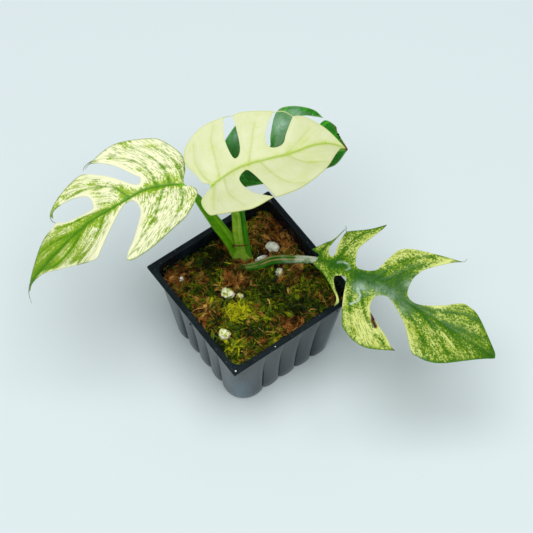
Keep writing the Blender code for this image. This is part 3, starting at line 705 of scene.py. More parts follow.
def lay_slab(slab):
    """Draw the flat grain out along the way that it lies."""
    places = [vertex.co / MM for vertex in slab.data.vertices]
    middle = sum(places, Vector()) / len(places)
    aside = UP.cross(SLAB_WAY)
    longs = [(place - middle).dot(SLAB_WAY) for place in places]
    wides = [(place - middle).dot(aside) for place in places]
    stretch, squeeze = SLAB_HALF_LENGTH / max(longs), SLAB_HALF_WIDTH / max(wides)
    for vertex, long, wide in zip(slab.data.vertices, longs, wides):
        flat = SLAB_MIDDLE + SLAB_WAY * (long * stretch) + aside * (wide * squeeze)
        vertex.co = (flat.x * MM, flat.y * MM, vertex.co.z + SLAB_RISE * MM)


for node, *_ in PERLITE:
    grain = copy_node(node, node + "_crumb")
    modify(grain, "SUBSURF", levels=2, render_levels=2)
    for vertex in grain.data.vertices:
        at = vertex.co / MM
        push = LUMP * noise.noise(at / LUMP_SIZE) + NOTCH * noise.noise(at / NOTCH_SIZE)
        vertex.co += vertex.normal * (push + GROWN) * MM
        vertex.co.z += CRUMB_RISE * MM
    if node == "perlite_slab":
        lay_slab(grain)
    hand_over(grain, algae if node in ALGAE_GRAINS else chalk, (node,), 80)

# %% [markdown]
# A blade is a thin curved sheet with cut edges, so it starts flat: the outline is a ring of smooth runs, the
# inside is filled with small triangles, and each point is carried onto the arched and folded sheet. An
# operator can't follow such an outline, so the flat sheet is made in mesh code and thickened by Solidify.
# The outlines repeat the solids' own values.

# %% Flat outlines
LEFT_LEAF = {
    "slot": "flecked_leaf", "base": (-40, -18, 138), "yaw": -101.5, "pitch": -23.5, "length": 106.5,
    "arch": 14, "fold": 0.12,
    "rib": ((0, 0), (7, -3), (20, -6), (38, -5), (60, -4.5), (80, -2), (107, -0.5)),
    "outline": (
        ((0, 0), (-1.5, -4), (-4.5, -9), (-6.5, -17), (-4.5, -24), (-0.5, -31), (5.5, -35), (22.5, -39.5),
         (39, -36)),
        ((44, -34), (39, -35), (29.5, -28.5), (21, -17), (19, -14), (20, -11.5), (23.5, -11.5),
         (32.5, -21.5), (39, -27), (45.5, -31.5), (51.5, -32), (65.5, -28.5), (74.5, -23.5)),
        ((74.5, -20), (71.5, -23.5), (60, -23), (50, -18.5), (49.5, -11.5), (53, -10.5), (66, -12.5)),
        ((74, -16.5), (86.5, -13.5), (97.5, -7.5), (107.5, -0.5)),
        ((109.5, 3), (105.5, 0.5), (96, 2), (88, 6.5), (68.5, 16.5), (61, 19)),
        ((58.5, 18), (48.5, 9), (38, 0), (33.5, -3), (29.5, -3.5), (27, -1), (26.5, 4), (28, 9), (36.5, 21),
         (41.5, 26)),
        ((45, 31), (40.5, 33), (27, 31), (10, 23.5), (3.5, 19), (-4.5, 8.5), (-3, 2.5), (-0.5, 1.5)),
    ),
    "laterals": (
        ((13.2, -3.8), (13.3, -16.5), (19.3, -26.7), (28.5, -33)),
        ((-0.2, -2), (-1.8, -12), (0, -20), (6, -31)), ((6.5, -3), (5.5, -14), (10, -26), (18, -36)),
        ((29.5, -5.6), (33.9, -15), (41, -19.9), (49.4, -23.1), (62.6, -24.8)),
        ((9.6, -3.5), (14.9, 4.4), (20.6, 12.6), (27, 18.6), (42.1, 29.1)),
        ((2, -1), (3, 7.1), (9, 16.6), (19.6, 26)), ((45.1, -4.9), (54.8, 5.5), (65, 10.5), (76.9, 10.8)),
        ((60, -4.5), (70, 2), (83, 4.6), (95, 1.5)), ((43, -5.1), (55, -8.8), (66, -10.5), (76, -14)),
        ((66, -4), (80, -8), (93, -9.5)),
    ),
}
CREAM_LEAF = {
    "slot": "cream_leaf", "base": (-24.5, -10, 148), "yaw": 74, "pitch": -1.5, "length": 80.5, "arch": 6,
    "fold": 0.28,
    "rib": ((0, 0), (5, 2), (22, 4.5), (45, 3), (64, 4.5), (73.5, 3.5), (80, 0)),
    "outline": (
        ((-0.5, -0.5), (0, 1.5), (-3.5, 4.5), (-5.5, 10), (-9, 19), (-5.5, 27), (6, 33.5)),
        ((20, 34.5), (18.5, 32), (16, 21.5), (17.5, 10.5), (22.5, 14.5)),
        ((25, 33.5), (30.5, 33.5), (44, 30)),
        ((47.5, 28.5), (42, 22.5), (38.5, 17), (37.5, 12.5), (39, 9.5), (43, 8.5), (47, 10), (50.5, 15)),
        ((57.5, 23.5), (64, 22), (74, 13)),
        ((81, -0.5), (78, -0.5), (74, -4), (61.5, -16), (44, -24.5)),
        ((29, -26), (26, -11.5), (23, -1), (20.5, 1), (15.5, -4), (18.5, -16)),
        ((28, -25), (17.5, -27.5), (10.5, -26.5), (-3, -20.5), (-7.5, -17.5), (-8, -6.5)),
    ),
    "laterals": (
        ((6, 2.2), (7.6, 13.5), (8.5, 24), (13, 33)), ((1, 1.5), (-2.5, 9), (-3.5, 18), (-1, 27)),
        ((23.7, 4.2), (29, 14), (35.4, 26.1)), ((30.5, 3.8), (34.4, -9.6), (40.1, -18.1), (48.4, -22)),
        ((46.2, 3.2), (56.6, 9.4), (64.8, 15.1)), ((46, 3), (54, -6), (66, -10)),
        ((8.4, 2.8), (7.2, -10.9), (11.7, -23.5)), ((2.5, 1), (-1.5, -8), (-4, -16)),
    ),
}
GREEN_LEAF = {
    "slot": "green_leaf", "base": (-36.5, 15.5, 128), "yaw": 65.5, "pitch": -1.5, "length": 66, "arch": 6,
    "fold": 0.24,
    "rib": ((0, 0.5), (14.5, -2.5), (36.5, -3.5), (66, 0.5)),
    "outline": (
        ((0, 0.5), (-5, 9), (-5.5, 14.5), (-2.5, 18.5), (4.5, 24.5), (9.5, 27), (15, 27.5)),
        ((21, 26.5), (14, 17), (15.5, 5.5), (18.5, 4), (21.5, 7), (23, 13.5), (29, 26), (38.5, 28),
         (50.5, 25)),
        ((55.5, 20), (42.5, 21.5), (37.5, 15), (40, 11.5), (44.5, 11.5), (50, 14), (56.5, 18.5), (62, 15),
         (62.5, 11)),
        ((66.5, 1), (57.5, -10), (50.5, -13.5)),
        ((33.5, -18.5), (25, -9), (21.5, -9), (20.5, -13)),
        ((24, -18.5), (2.5, -15.5), (-1.5, -13), (-3.5, -8), (-3, -3)),
    ),
    "laterals": (
        ((6, -0.8), (5, 10), (9, 22)), ((22, -3), (28, 8), (35, 21)), ((34, -3.5), (44, 3), (56, 9)),
        ((8, -1.2), (9, -8), (14, -14)), ((30, -3.4), (38, -9), (48, -11.5)),
        ((46, -3), (54, -5.5), (60, -5.5)),
    ),
}
RIGHT_LEAF = {
    "slot": "mottled_leaf", "base": (17.5, 34.5, 79), "yaw": 22, "pitch": -1.5, "length": 119.5, "arch": 12,
    "fold": 0.1,
    "rib": ((0, 0), (13.5, 2), (36.5, -0.5), (57.5, -1.5), (92, -1.5), (118, -0.5)),
    "outline": (
        ((-0.5, 1), (-0.5, 3.5)),
        ((-6.5, 5.5), (-1.5, 12), (2, 16)),
        ((4.5, 24.5), (2.5, 12.5), (3, 8.5), (5.5, 5.5), (7.5, 5), (8, 7.5), (6.5, 13), (6, 20)),
        ((6.5, 23.5), (18, 30)),
        ((25.5, 36.5), (24.5, 32), (19.5, 19), (19, 14), (23, 5.5), (27.5, 4), (35.5, 7.5), (38, 17.5),
         (43, 27), (63, 33.5)),
        ((76, 37), (71.5, 33.5), (61, 22.5), (58, 17), (57, 11), (59.5, 2), (67.5, 0.5), (79.5, 7.5),
         (88, 15), (93, 16), (100, 14.5), (113.5, 6), (118.5, 2.5)),
        ((120, 0), (111.5, -8.5), (98, -23), (90, -28), (84, -29), (79.5, -28.5), (69.5, -17.5), (63, -12),
         (51.5, -5), (46.5, -5.5), (44, -8.5), (44, -13.5), (46.5, -18.5), (56, -25), (62.5, -28.5),
         (68, -32.5)),
        ((71.5, -33.5), (62.5, -39), (55.5, -41.5), (48.5, -41), (40.5, -37.5), (36, -33), (28.5, -18.5),
         (23.5, -6.5), (20.5, -4.5), (16, -7), (20, -13.5), (27.5, -21.5)),
        ((27, -26), (25.5, -21), (21.5, -17), (9, -8), (3, -5.5)),
        ((-1, -3), (0.5, -1.5)),
    ),
    "laterals": (
        ((3, 0.5), (-0.5, 5), (0.5, 12)), ((10, 1.5), (11.5, 9), (12.5, 18), (19, 30)),
        ((36.4, -0.5), (41, 9), (46.6, 20.3), (61.1, 31.4)), ((30, 0.2), (43, 4), (50, 14), (58, 24)),
        ((64, -1.5), (78, 2.8), (92, 10), (101, 12)), ((84, -1.5), (96, 1.5), (108, 4)),
        ((53.8, -1.5), (68.6, -9.2), (84, -20)), ((68, -1.5), (82, -7), (97, -16)),
        ((86, -1.5), (98, -5), (108, -9)), ((28, 0.5), (36.6, -11.4), (49, -26), (65, -33.8)),
        ((26, 0.8), (31.5, -14), (38, -27.1), (48, -38)), ((12, 1.8), (10, -3), (16, -8.5), (23, -17)),
    ),
}
print("side veins on the left blade:", len(LEFT_LEAF["laterals"]))

# %% [markdown]
# Veins and flecks follow the blade, not the room. For each point this works out, in millimetres, how far it
# is from the midrib, from the nearest side vein, from the cut edge and from the edge of a gap. It also
# blends the side veins into one flow value that stays the same along a vein, so that a noise stretched
# along the flow makes the streaks of a variegated leaf.

# %% Distances on the flat blade


def distance_to_path(places, path):
    """Distance from each place to a polyline, and how far along it the nearest point lies."""
    best = np.full(len(places), 1e9)
    along = np.zeros(len(places))
    walked = 0.0
    for start, end in zip(path[:-1], path[1:]):
        start, end = np.array(start, float), np.array(end, float)
        step = end - start
        length = math.hypot(*step)
        if length == 0:
            continue
        share = np.clip((places - start) @ step / length ** 2, 0, 1)
        away = np.hypot(*(places - start - share[:, None] * step).T)
        nearer = away < best
        best[nearer] = away[nearer]
        along[nearer] = walked + share[nearer] * length
        walked += length
    return best, along


def inside_outline(places, outline):
    """Whether each place lies inside the closed outline."""
    hit = np.zeros(len(places), bool)
    x, y = places[:, 0], places[:, 1]
    for (x0, y0), (x1, y1) in zip(outline, np.roll(outline, -1, axis=0)):
        if y0 != y1:
            crosses = ((y0 > y) != (y1 > y)) & (x < x0 + (y - y0) * (x1 - x0) / (y1 - y0))
            hit ^= crosses
    return hit


TEST_PLACE, TEST_LINE = np.array([(5.0, 3.0)]), ((0, 0), (10, 0))
print("distance from a line, and along it:", [float(v[0]) for v in distance_to_path(TEST_PLACE, TEST_LINE)])

# %% [markdown]
# The flat blade is filled with a grid of staggered points, kept a little off the outline, and a Delaunay
# triangulation that keeps the outline as edges.

# %% Fill the flat blade
OUTLINE_STEP, SHEET_STEP = 0.9, 0.8
ROW_STEP, EDGE_CLEAR = SHEET_STEP * 0.866, SHEET_STEP * 0.45


def flat_blade(leaf):
    """Outline, points and triangles of a blade before it is bent."""
    outline = []
    runs = leaf["outline"]
    for run, following in zip(runs, runs[1:] + runs[:1]):
        ends = [(*p, 0) for p in run] + [(*following[0], 0)]
        curve = smooth_curve(ends, lambda a, b: max(1, round((b - a).length / OUTLINE_STEP)))
        outline += [(p.x, p.y) for p in curve]
    outline = np.array(outline)
    low, high = outline.min(axis=0), outline.max(axis=0)
    xs = np.arange(low[0], high[0], SHEET_STEP)
    ys = np.arange(low[1], high[1], ROW_STEP)
    grid = np.array([(x + (0.5 * SHEET_STEP if j % 2 else 0.0), y) for j, y in enumerate(ys) for x in xs])
    grid = grid[inside_outline(grid, outline)]
    edge, _ = distance_to_path(grid, np.vstack([outline, outline[:1]]))
    grid = grid[edge > EDGE_CLEAR]
    flat = np.vstack([outline, grid])
    count = len(outline)
    edges = [(i, (i + 1) % count) for i in range(count)]
    corners = [Vector(p) for p in flat.tolist()]
    _, _, triangles, origins, _, _ = delaunay_2d_cdt(corners, edges, [], 0, 1e-6, True)
    triangles = np.array([[origins[i][0] for i in triangle] for triangle in triangles])
    triangles = triangles[inside_outline(flat[triangles].mean(axis=1), outline)]
    print("flat blade:", len(flat), "points,", len(triangles), "triangles")
    return outline, flat, triangles


# %% [markdown]
# A gap is where the outline runs far inside the blade's convex hull. A side vein pulls only on the points
# of its own half of the blade, and more the nearer it is.

# %% Measure the flat blade
FAR, GAP_DEPTH = 60.0, 4.5
RIB_STEPS, VEIN_STEPS = 6, 5
OTHER_HALF, PULL_NEAREST, PULL_FALL = 1e-4, 0.4, 1.3


def blade_measures(leaf, outline, flat):
    """Distances that the relief and the colours are worked out from, in millimetres."""
    rib_curve = smooth_curve([(*p, 0) for p in leaf["rib"]], lambda a, b: RIB_STEPS)
    rib_x = [p.x for p in rib_curve] + [leaf["rib"][-1][0]]
    rib_y = [p.y for p in rib_curve] + [leaf["rib"][-1][1]]
    away = flat[:, 1] - np.interp(flat[:, 0], rib_x, rib_y)
    edge, _ = distance_to_path(flat, np.vstack([outline, outline[:1]]))
    hull = [outline[i] for i in convex_hull_2d([Vector(p) for p in outline.tolist()])]
    hull_away, _ = distance_to_path(outline, np.array(hull + hull[:1]))
    gap = np.full(len(flat), FAR)
    for point in outline[hull_away > GAP_DEPTH]:
        gap = np.minimum(gap, np.hypot(*(flat - point).T))
    vein = np.full(len(flat), FAR)
    reach, weights, flow = np.zeros((3, len(flat)))
    for lateral in leaf["laterals"]:
        curve = smooth_curve([(*p, 0) for p in lateral], lambda a, b: VEIN_STEPS)
        path = np.array([(p.x, p.y) for p in curve] + [lateral[-1]])
        away_now, along = distance_to_path(flat, path)
        same_side = np.sign(away) == np.sign(lateral[-1][1] - np.interp(lateral[-1][0], rib_x, rib_y))
        length = np.hypot(*np.diff(path, axis=0).T).sum()
        nearer = away_now < vein
        vein[nearer] = away_now[nearer]
        reach[nearer] = along[nearer] / length
        heading = path[-1] - path[-2]
        longer = np.vstack([path, path[-1] + heading / math.hypot(*heading) * FAR])
        away_now, _ = distance_to_path(flat, longer)
        weight = np.where(same_side, 1.0, OTHER_HALF) / (away_now + PULL_NEAREST) ** PULL_FALL
        weights += weight
        flow += weight * path[:, 0].mean()
    print("deepest place in the blade:", round(float(edge.max()), 1), "mm from its edge")
    return {"rib": away, "edge": edge, "gap": gap, "vein": vein, "reach": reach, "flow": flow / weights}


# %% [markdown]
# The sheet is then bent. The midrib and the side veins lie in shallow furrows on the upper face, and the
# skin between them swells a little. A real blade of this plant is about 0.4 mm thick.

# %% Bend a blade onto its sheet
BLADE_THICKNESS = 0.45
RIB_FURROW, RIB_FURROW_WIDTH = 0.45, 1.1
VEIN_FURROW, VEIN_FURROW_WIDTH = 0.22, 0.9
SWELL, SWELL_REACH = 0.35, 4.0
WAVE, WAVE_PITCH, LIFT = 0.6, 16.0, 0.1
FOLD_ROUND, HALVES_APART = 3.0, 9.0


def sheet_point(leaf, x, y, away):
    """Points of the arched and folded sheet, in millimetres, for arrays of flat places."""
    yaw, pitch = math.radians(leaf["yaw"]), math.radians(leaf["pitch"])
    along = np.array((math.cos(yaw) * math.cos(pitch), math.sin(yaw) * math.cos(pitch), math.sin(pitch)))
    left = np.array((-math.sin(yaw), math.cos(yaw), 0.0))
    normal = np.cross(along, left)
    share = x / leaf["length"]
    height = leaf["arch"] * 4 * share * (1 - share) + leaf["fold"] * (np.hypot(away, FOLD_ROUND) - FOLD_ROUND)
    flat_place = np.array(leaf["base"]) + np.outer(x, along) + np.outer(y, left)
    return flat_place + np.outer(height, normal), normal


def model_blade(name, leaf, greens, **marks):
    """Fill, bend, thicken and measure one blade. greens and marks paint numbers on it for its skin."""
    outline, flat, triangles = flat_blade(leaf)
    measures = blade_measures(leaf, outline, flat)
    places, normal = sheet_point(leaf, flat[:, 0], flat[:, 1], measures["rib"])
    relief = -RIB_FURROW * near(measures["rib"], RIB_FURROW_WIDTH)
    relief -= VEIN_FURROW * near(measures["vein"], VEIN_FURROW_WIDTH) * (1 - 0.6 * measures["reach"])
    relief += SWELL * (1 - near(measures["vein"], SWELL_REACH)) * np.clip(measures["edge"] / 3, 0, 1)
    waves = [noise.noise(Vector((x / WAVE_PITCH, y / WAVE_PITCH, leaf["length"]))) for x, y in flat]
    relief += WAVE * np.array(waves) * np.clip(measures["edge"] / 2, 0.3, 1)
    places = places + np.outer(relief + LIFT, normal)
    made = new_piece(name, places, triangles)
    if made.data.polygons[0].normal.dot(Vector(normal)) < 0:
        made.data.flip_normals()
    rib, side = np.abs(measures["rib"]), np.sign(measures["rib"])
    write_numbers(made, rib_mm=rib, vein_mm=measures["vein"] + 0.5 * measures["reach"],
                  edge_mm=measures["edge"], gap_mm=measures["gap"],
                  green=greens(flat[:, 0], flat[:, 1], measures),
                  flow=np.stack([measures["flow"], rib, side * HALVES_APART], axis=1) * MM,
                  **{mark: np.clip(painted(flat), 0, 1) for mark, painted in marks.items()})
    modify(made, "SOLIDIFY", thickness=BLADE_THICKNESS * MM, offset=-1.0)
    print(name, "spans", np.round(np.ptp(places, axis=0), 1).tolist(), "mm")
    return made


# %% [markdown]
# All four blades have the same skin: a waxy cuticle, roughness 0.3 to 0.45, over leaf cells. They differ in
# how much green the cells hold. One function builds the skin from named colours: a pale ground, flecks of
# green where the noise and the painted green value together pass a threshold, dark veins, and an edge line.

# %% Leaf skin
STREAK_WIDTH, STREAK_LENGTH = 1.35, 5.0
DASH_WIDTH, DASH_LENGTH = 0.75, 3.6
FLECK, CLOUD, CELL = 1.05, 9.0, 0.7


def leaf_skin(name, ground, ground_tint, fleck, fleck_deep, vein, look):
    """A variegated leaf skin. look holds the threshold's softness, the vein widths and strengths."""
    made, tree, shader = start_material(name, look["roughness"], look.get("shine", 0.22))
    place = add(tree, "TexCoord").outputs["Object"]
    flow = add(tree, "Attribute", attribute_name="flow").outputs["Vector"]
    rib, side, edge, gap, green = (add(tree, "Attribute", attribute_name=kept).outputs["Fac"]
                                   for kept in ("rib_mm", "vein_mm", "edge_mm", "gap_mm", "green"))
    # Flecks: a noise stretched along the flow, a round one, and slow clouds, added to the painted green
    along = add(tree, "Mapping", {"Vector": flow, "Scale": (1, STREAK_WIDTH / STREAK_LENGTH, 1)})
    streaks = add(tree, "TexNoise", {"Vector": along, "Scale": 1000 / STREAK_WIDTH, "Detail": 3.0,
                                     "Roughness": 0.65})
    flecks = add(tree, "TexNoise", {"Vector": place, "Scale": 1000 / FLECK, "Detail": 2.0, "Roughness": 0.6})
    clouds = add(tree, "TexNoise", {"Vector": place, "Scale": 1000 / CLOUD, "Detail": 2.0})
    both = add(tree, "Mix", {0: look["streaky"], 2: flecks, 3: streaks})
    cloudy = add(tree, "Mix", {0: 0.16, 2: both, 3: clouds})
    lively = add(tree, "Math", {0: cloudy, 1: 1.7, 2: -0.35}, operation="MULTIPLY_ADD")
    amount = add(tree, "Math", {0: lively, 1: green}, operation="ADD")
    spots = add(tree, "MapRange", {"Value": amount, "From Min": 1.0 - look["soft"],
                                   "From Max": 1.0 + look["soft"]}, interpolation_type="SMOOTHSTEP")
    deep = add(tree, "MapRange", {"Value": amount, "From Min": 1.02, "From Max": 1.30})
    cells = add(tree, "Mix", {0: deep, 6: fleck, 7: fleck_deep}, data_type="RGBA")
    # Ground: yellower where the green is dense
    dense = add(tree, "Math", {0: clouds, 1: 0.6, 2: green}, operation="MULTIPLY_ADD")
    tinted = add(tree, "MapRange", {"Value": dense, "From Min": look["tint_from"],
                                    "From Max": look["tint_from"] + 0.3})
    # Fine dashes of green cells between the flecks, none beside a gap
    along = add(tree, "Mapping", {"Vector": flow, "Scale": (1, DASH_WIDTH / DASH_LENGTH, 1)})
    dashes = add(tree, "TexNoise", {"Vector": along, "Scale": 1000 / DASH_WIDTH, "Detail": 1.0})
    dashed = add(tree, "MapRange", {"Value": dashes, "From Min": 0.50, "From Max": 0.64,
                                    "To Max": look["dashes"]})
    clear = add(tree, "MapRange", {"Value": gap, "From Min": look["clear"] * 0.3, "From Max": look["clear"]})
    kept = add(tree, "Math", {0: dashed, 1: clear}, operation="MULTIPLY")
    # Midrib and side veins, the side veins broken a little by the flecks
    near_rib = add(tree, "MapRange", {"Value": rib, "From Min": look["rib_width"], "From Max": 0.15,
                                      "To Max": look["rib_strength"]})
    near_vein = add(tree, "MapRange", {"Value": side, "From Min": look["vein_width"], "From Max": 0.05,
                                       "To Max": look["vein_strength"]})
    broken = add(tree, "MapRange", {"Value": flecks, "From Min": 0.34, "From Max": 0.54, "To Min": 0.5})
    side_veins = add(tree, "Math", {0: near_vein, 1: broken}, operation="MULTIPLY")
    veins = add(tree, "Math", {0: near_rib, 1: side_veins}, operation="MAXIMUM")
    # Edge line, fainter beside a gap
    outer = add(tree, "MapRange", {"Value": gap, "From Min": 1.0, "From Max": 5.0, "To Min": 0.25})
    line = add(tree, "MapRange", {"Value": edge, "From Min": 0.8, "From Max": 0.1,
                                  "To Max": look["edge_strength"]})
    rim = add(tree, "Math", {0: line, 1: outer}, operation="MULTIPLY")
    layers = [(tinted, ground_tint), (spots, cells), (kept, look["dash_colour"]), (veins, vein),
              (rim, look["edge"])]
    # Painted marks: a pale painted sheen, wiped thin along the streaks, and a brown scar
    for mark, least in (("bloom", 0.12), ("scar", 1.0)):
        if mark in look:
            painted = add(tree, "Attribute", attribute_name=mark).outputs["Fac"]
            wiped = add(tree, "MapRange", {"Value": streaks, "From Min": 0.38, "From Max": 0.58,
                                           "To Min": least})
            layers.append((add(tree, "Math", {0: painted, 1: wiped}, operation="MULTIPLY"), look[mark]))
    skin = ground
    for mask, colour in layers:
        skin = add(tree, "Mix", {0: mask, 6: skin, 7: colour}, data_type="RGBA")
    pores = add(tree, "TexNoise", {"Vector": place, "Scale": 1000 / CELL, "Detail": 2.0})
    bump = add(tree, "Bump", {"Strength": 0.12, "Distance": 0.0002, "Height": pores})
    plug(shader, {"Base Color": skin, "Normal": bump})
    print(name, "has", len(tree.nodes), "nodes")
    return made


# %% [markdown]
# The left blade is cream. Green gathers at the midrib, along the side veins and over the end lobe to its
# tip, and keeps off the gap edges. Each greens function gives the share of green cells, 0 to 1, at flat
# places in millimetres. A patch in it is a place, a radius and a strength.

# %% Left blade


def left_greens(x, y, m):
    value = 0.37 + 0.15 * near(m["rib"], 3) + 0.10 * near(m["vein"], 1.3) + 0.09 * near(m["rib"], 12)
    value += 0.12 * np.clip((x - 38) / 30, 0, 1) + 0.02 * np.clip((x - 80) / 20, 0, 1)
    value += patch_sum(((50, 12, 6, -0.20), (62, 15, 7, -0.14)), x, y) - 0.20 * near(m["gap"], 1.9)
    return value + 0.05 * near(m["edge"], 1.5) * np.clip(m["gap"] / 8, 0, 1)


skin = leaf_skin("cream_leaf_flecked_green", "#F1F3CA", "#D6E07E", "#9CBC2E", "#5A940E", "#427F08", {
    "roughness": 0.42, "streaky": 0.62, "soft": 0.075, "rib_width": 1.3, "rib_strength": 0.95,
    "vein_width": 1.2, "vein_strength": 1.0, "edge": "#66863A", "edge_strength": 0.75, "tint_from": 0.70,
    "dashes": 0.66, "dash_colour": "#71921A", "clear": 2.8})
leaf_left = model_blade("left_blade", LEFT_LEAF, left_greens)
hand_over(leaf_left, skin, ("leaf_left",), 60)

# %% [markdown]
# The cream blade has almost no green cells. Only its midrib and a few side veins are yellow-green.

# %% Cream blade


def cream_greens(x, y, m):
    value = 0.28 + 0.22 * near(m["rib"], 2.4) + 0.10 * near(m["vein"], 1.6)
    return value + patch_sum(((60, 0, 16, 0.08),), x, y)


skin = leaf_skin("cream_leaf", "#D8DEB4", "#D0D8A4", "#CAD68A", "#B5CA54", "#98B832", {
    "roughness": 0.45, "streaky": 0.7, "soft": 0.25, "rib_width": 1.2, "rib_strength": 0.85,
    "vein_width": 1.2, "vein_strength": 0.45, "edge": "#BFCB6C", "edge_strength": 0.6, "tint_from": 0.5,
    "dashes": 0.12, "dash_colour": "#C2CF78", "clear": 4.5})
leaf_cream = model_blade("cream_blade", CREAM_LEAF, cream_greens)
hand_over(leaf_cream, skin, ("leaf_cream",), 60)

# %% [markdown]
# The green blade behind it is a plain dark leaf with more gloss. Where it shows through the cream one's
# gaps it carries a painted bluish-white sheen, and its tip has begun to dry.

# %% Green blade


def green_greens(x, y, m):
    return 0.74 + 0.1 * near(m["vein"], 3)


# Painted sheen of the glossy blade where it shows through the cream one's gaps.
def green_bloom(flat):
    return patch_sum(((30, 17, 5, 0.7), (2, 19, 4, 0.5), (40, 24, 3.5, 0.5)), *flat.T)


def green_scar(flat):
    dry_edge = ((62.0, 17.0), (64.5, 9.0), (66.0, 2.0))
    return near(distance_to_path(flat, dry_edge)[0], 1.5) + patch_sum(((66, 1, 1.6, 1.0),), *flat.T)


skin = leaf_skin("glossy_green_leaf", "#5AB41C", "#5AB41C", "#36A010", "#176A0A", "#6CAE38", {
    "roughness": 0.30, "streaky": 0.6, "soft": 0.2, "rib_width": 1.0, "rib_strength": 0.7, "shine": 0.35,
    "vein_width": 0.6, "vein_strength": 0.35, "edge": "#8FB070", "edge_strength": 0.6, "tint_from": 0.6,
    "dashes": 0.45, "dash_colour": "#2A7E1C", "clear": 0.6, "bloom": "#9CC4B0", "scar": "#5A3A2E"})
leaf_green = model_blade("green_blade", GREEN_LEAF, green_greens, bloom=green_bloom, scar=green_scar)
hand_over(leaf_green, skin, ("leaf_green",), 60)

# %% [markdown]
# The right blade is chartreuse with a fine green mottle, deep green along the midrib, a pale painted sheen on
# its middle and yellow edges at the gaps.

# %% Right blade
RIGHT_PATCHES = (
    (14, 1, 7, 0.24), (32, 0, 9, 0.28), (48, 1, 9, 0.28), (56, 9, 9, 0.18), (66, -4, 9, 0.16),
    (20, 26, 12, 0.01), (55, 24, 14, 0.05), (51, -29, 13, -0.15), (68, 30, 10, -0.06),
)
# Patches of painted sheen on the right blade's middle.
SHEEN_PATCHES = (
    (34, -7, 4.5, 0.62), (44, -3.5, 4, 0.42), (56, 8, 2.5, 0.45), (52, -4, 4, 0.42), (62, -7, 4, 0.30),
)
DRY_TIPS = ((76, 37, 2.2, 0.9), (26, 37, 2.2, 0.9), (4.5, 24.5, 2.2, 0.9), (71.5, -33.5, 2.2, 0.9))


def right_greens(x, y, m):
    value = 0.48 + patch_sum(RIGHT_PATCHES, x, y) + 0.10 * near(m["rib"], 3) + 0.10 * near(m["vein"], 1.3)
    value += 0.05 * np.clip((x - 75) / 15, 0, 1) + 0.09 * np.clip((x - 108) / 12, 0, 1)
    return value + 0.14 * near(m["edge"], 1.2) * np.clip(m["gap"] / 10, 0, 1) - 0.13 * near(m["gap"], 1.2)


def right_bloom(flat):
    """Painted sheen beside the midrib, and two short white smears of it."""
    curl = ((12.5, 3.0), (15.2, 4.2), (18.6, 4.1), (21.0, 2.2), (19.7, -0.1))
    smear = ((33.0, -9.0), (36.0, -12.0), (37.0, -16.2), (34.5, -20.0))
    return (patch_sum(SHEEN_PATCHES, *flat.T) + 0.9 * near(distance_to_path(flat, curl)[0], 0.5)
            + 1.1 * near(distance_to_path(flat, smear)[0], 0.65))


def right_scar(flat):
    """A torn brown place on the inner edge of the fourth lobe, and dry tips."""
    tear = ((48.6, -19.9), (50.5, -22.3), (51.9, -24.4), (54.5, -26.4))
    return 4 * near(distance_to_path(flat, tear)[0], 0.8) + patch_sum(DRY_TIPS, *flat.T)


skin = leaf_skin("chartreuse_leaf_mottled_green", "#D6DF86", "#A4B61E", "#588410", "#24590E", "#2A620A", {
    "roughness": 0.40, "streaky": 0.40, "soft": 0.10, "rib_width": 1.0, "rib_strength": 0.6,
    "vein_width": 1.0, "vein_strength": 0.85, "edge": "#3F7A1C", "edge_strength": 0.7, "tint_from": 0.66,
    "dashes": 0.6, "dash_colour": "#4E7A12", "clear": 1.4, "bloom": "#BFD8CB", "scar": "#46291A"})
leaf_right = model_blade("right_blade", RIGHT_LEAF, right_greens, bloom=right_bloom, scar=right_scar)
hand_over(leaf_right, skin, ("leaf_right",), 60)

# %% [markdown]
# The leaf stalks are firm ovals. The left one is broad and channelled like a gutter where it once wrapped
# the younger stalks. Each is grown along the same route as its solid, with more sides, and its channel is
# pressed into the side that faces the camera.

# %% Stalk routes
STEM_TOP, STEM_FOOT = 61.0, 40.0
BACKWARD = Vector((-0.808, 0.589, 0.0))
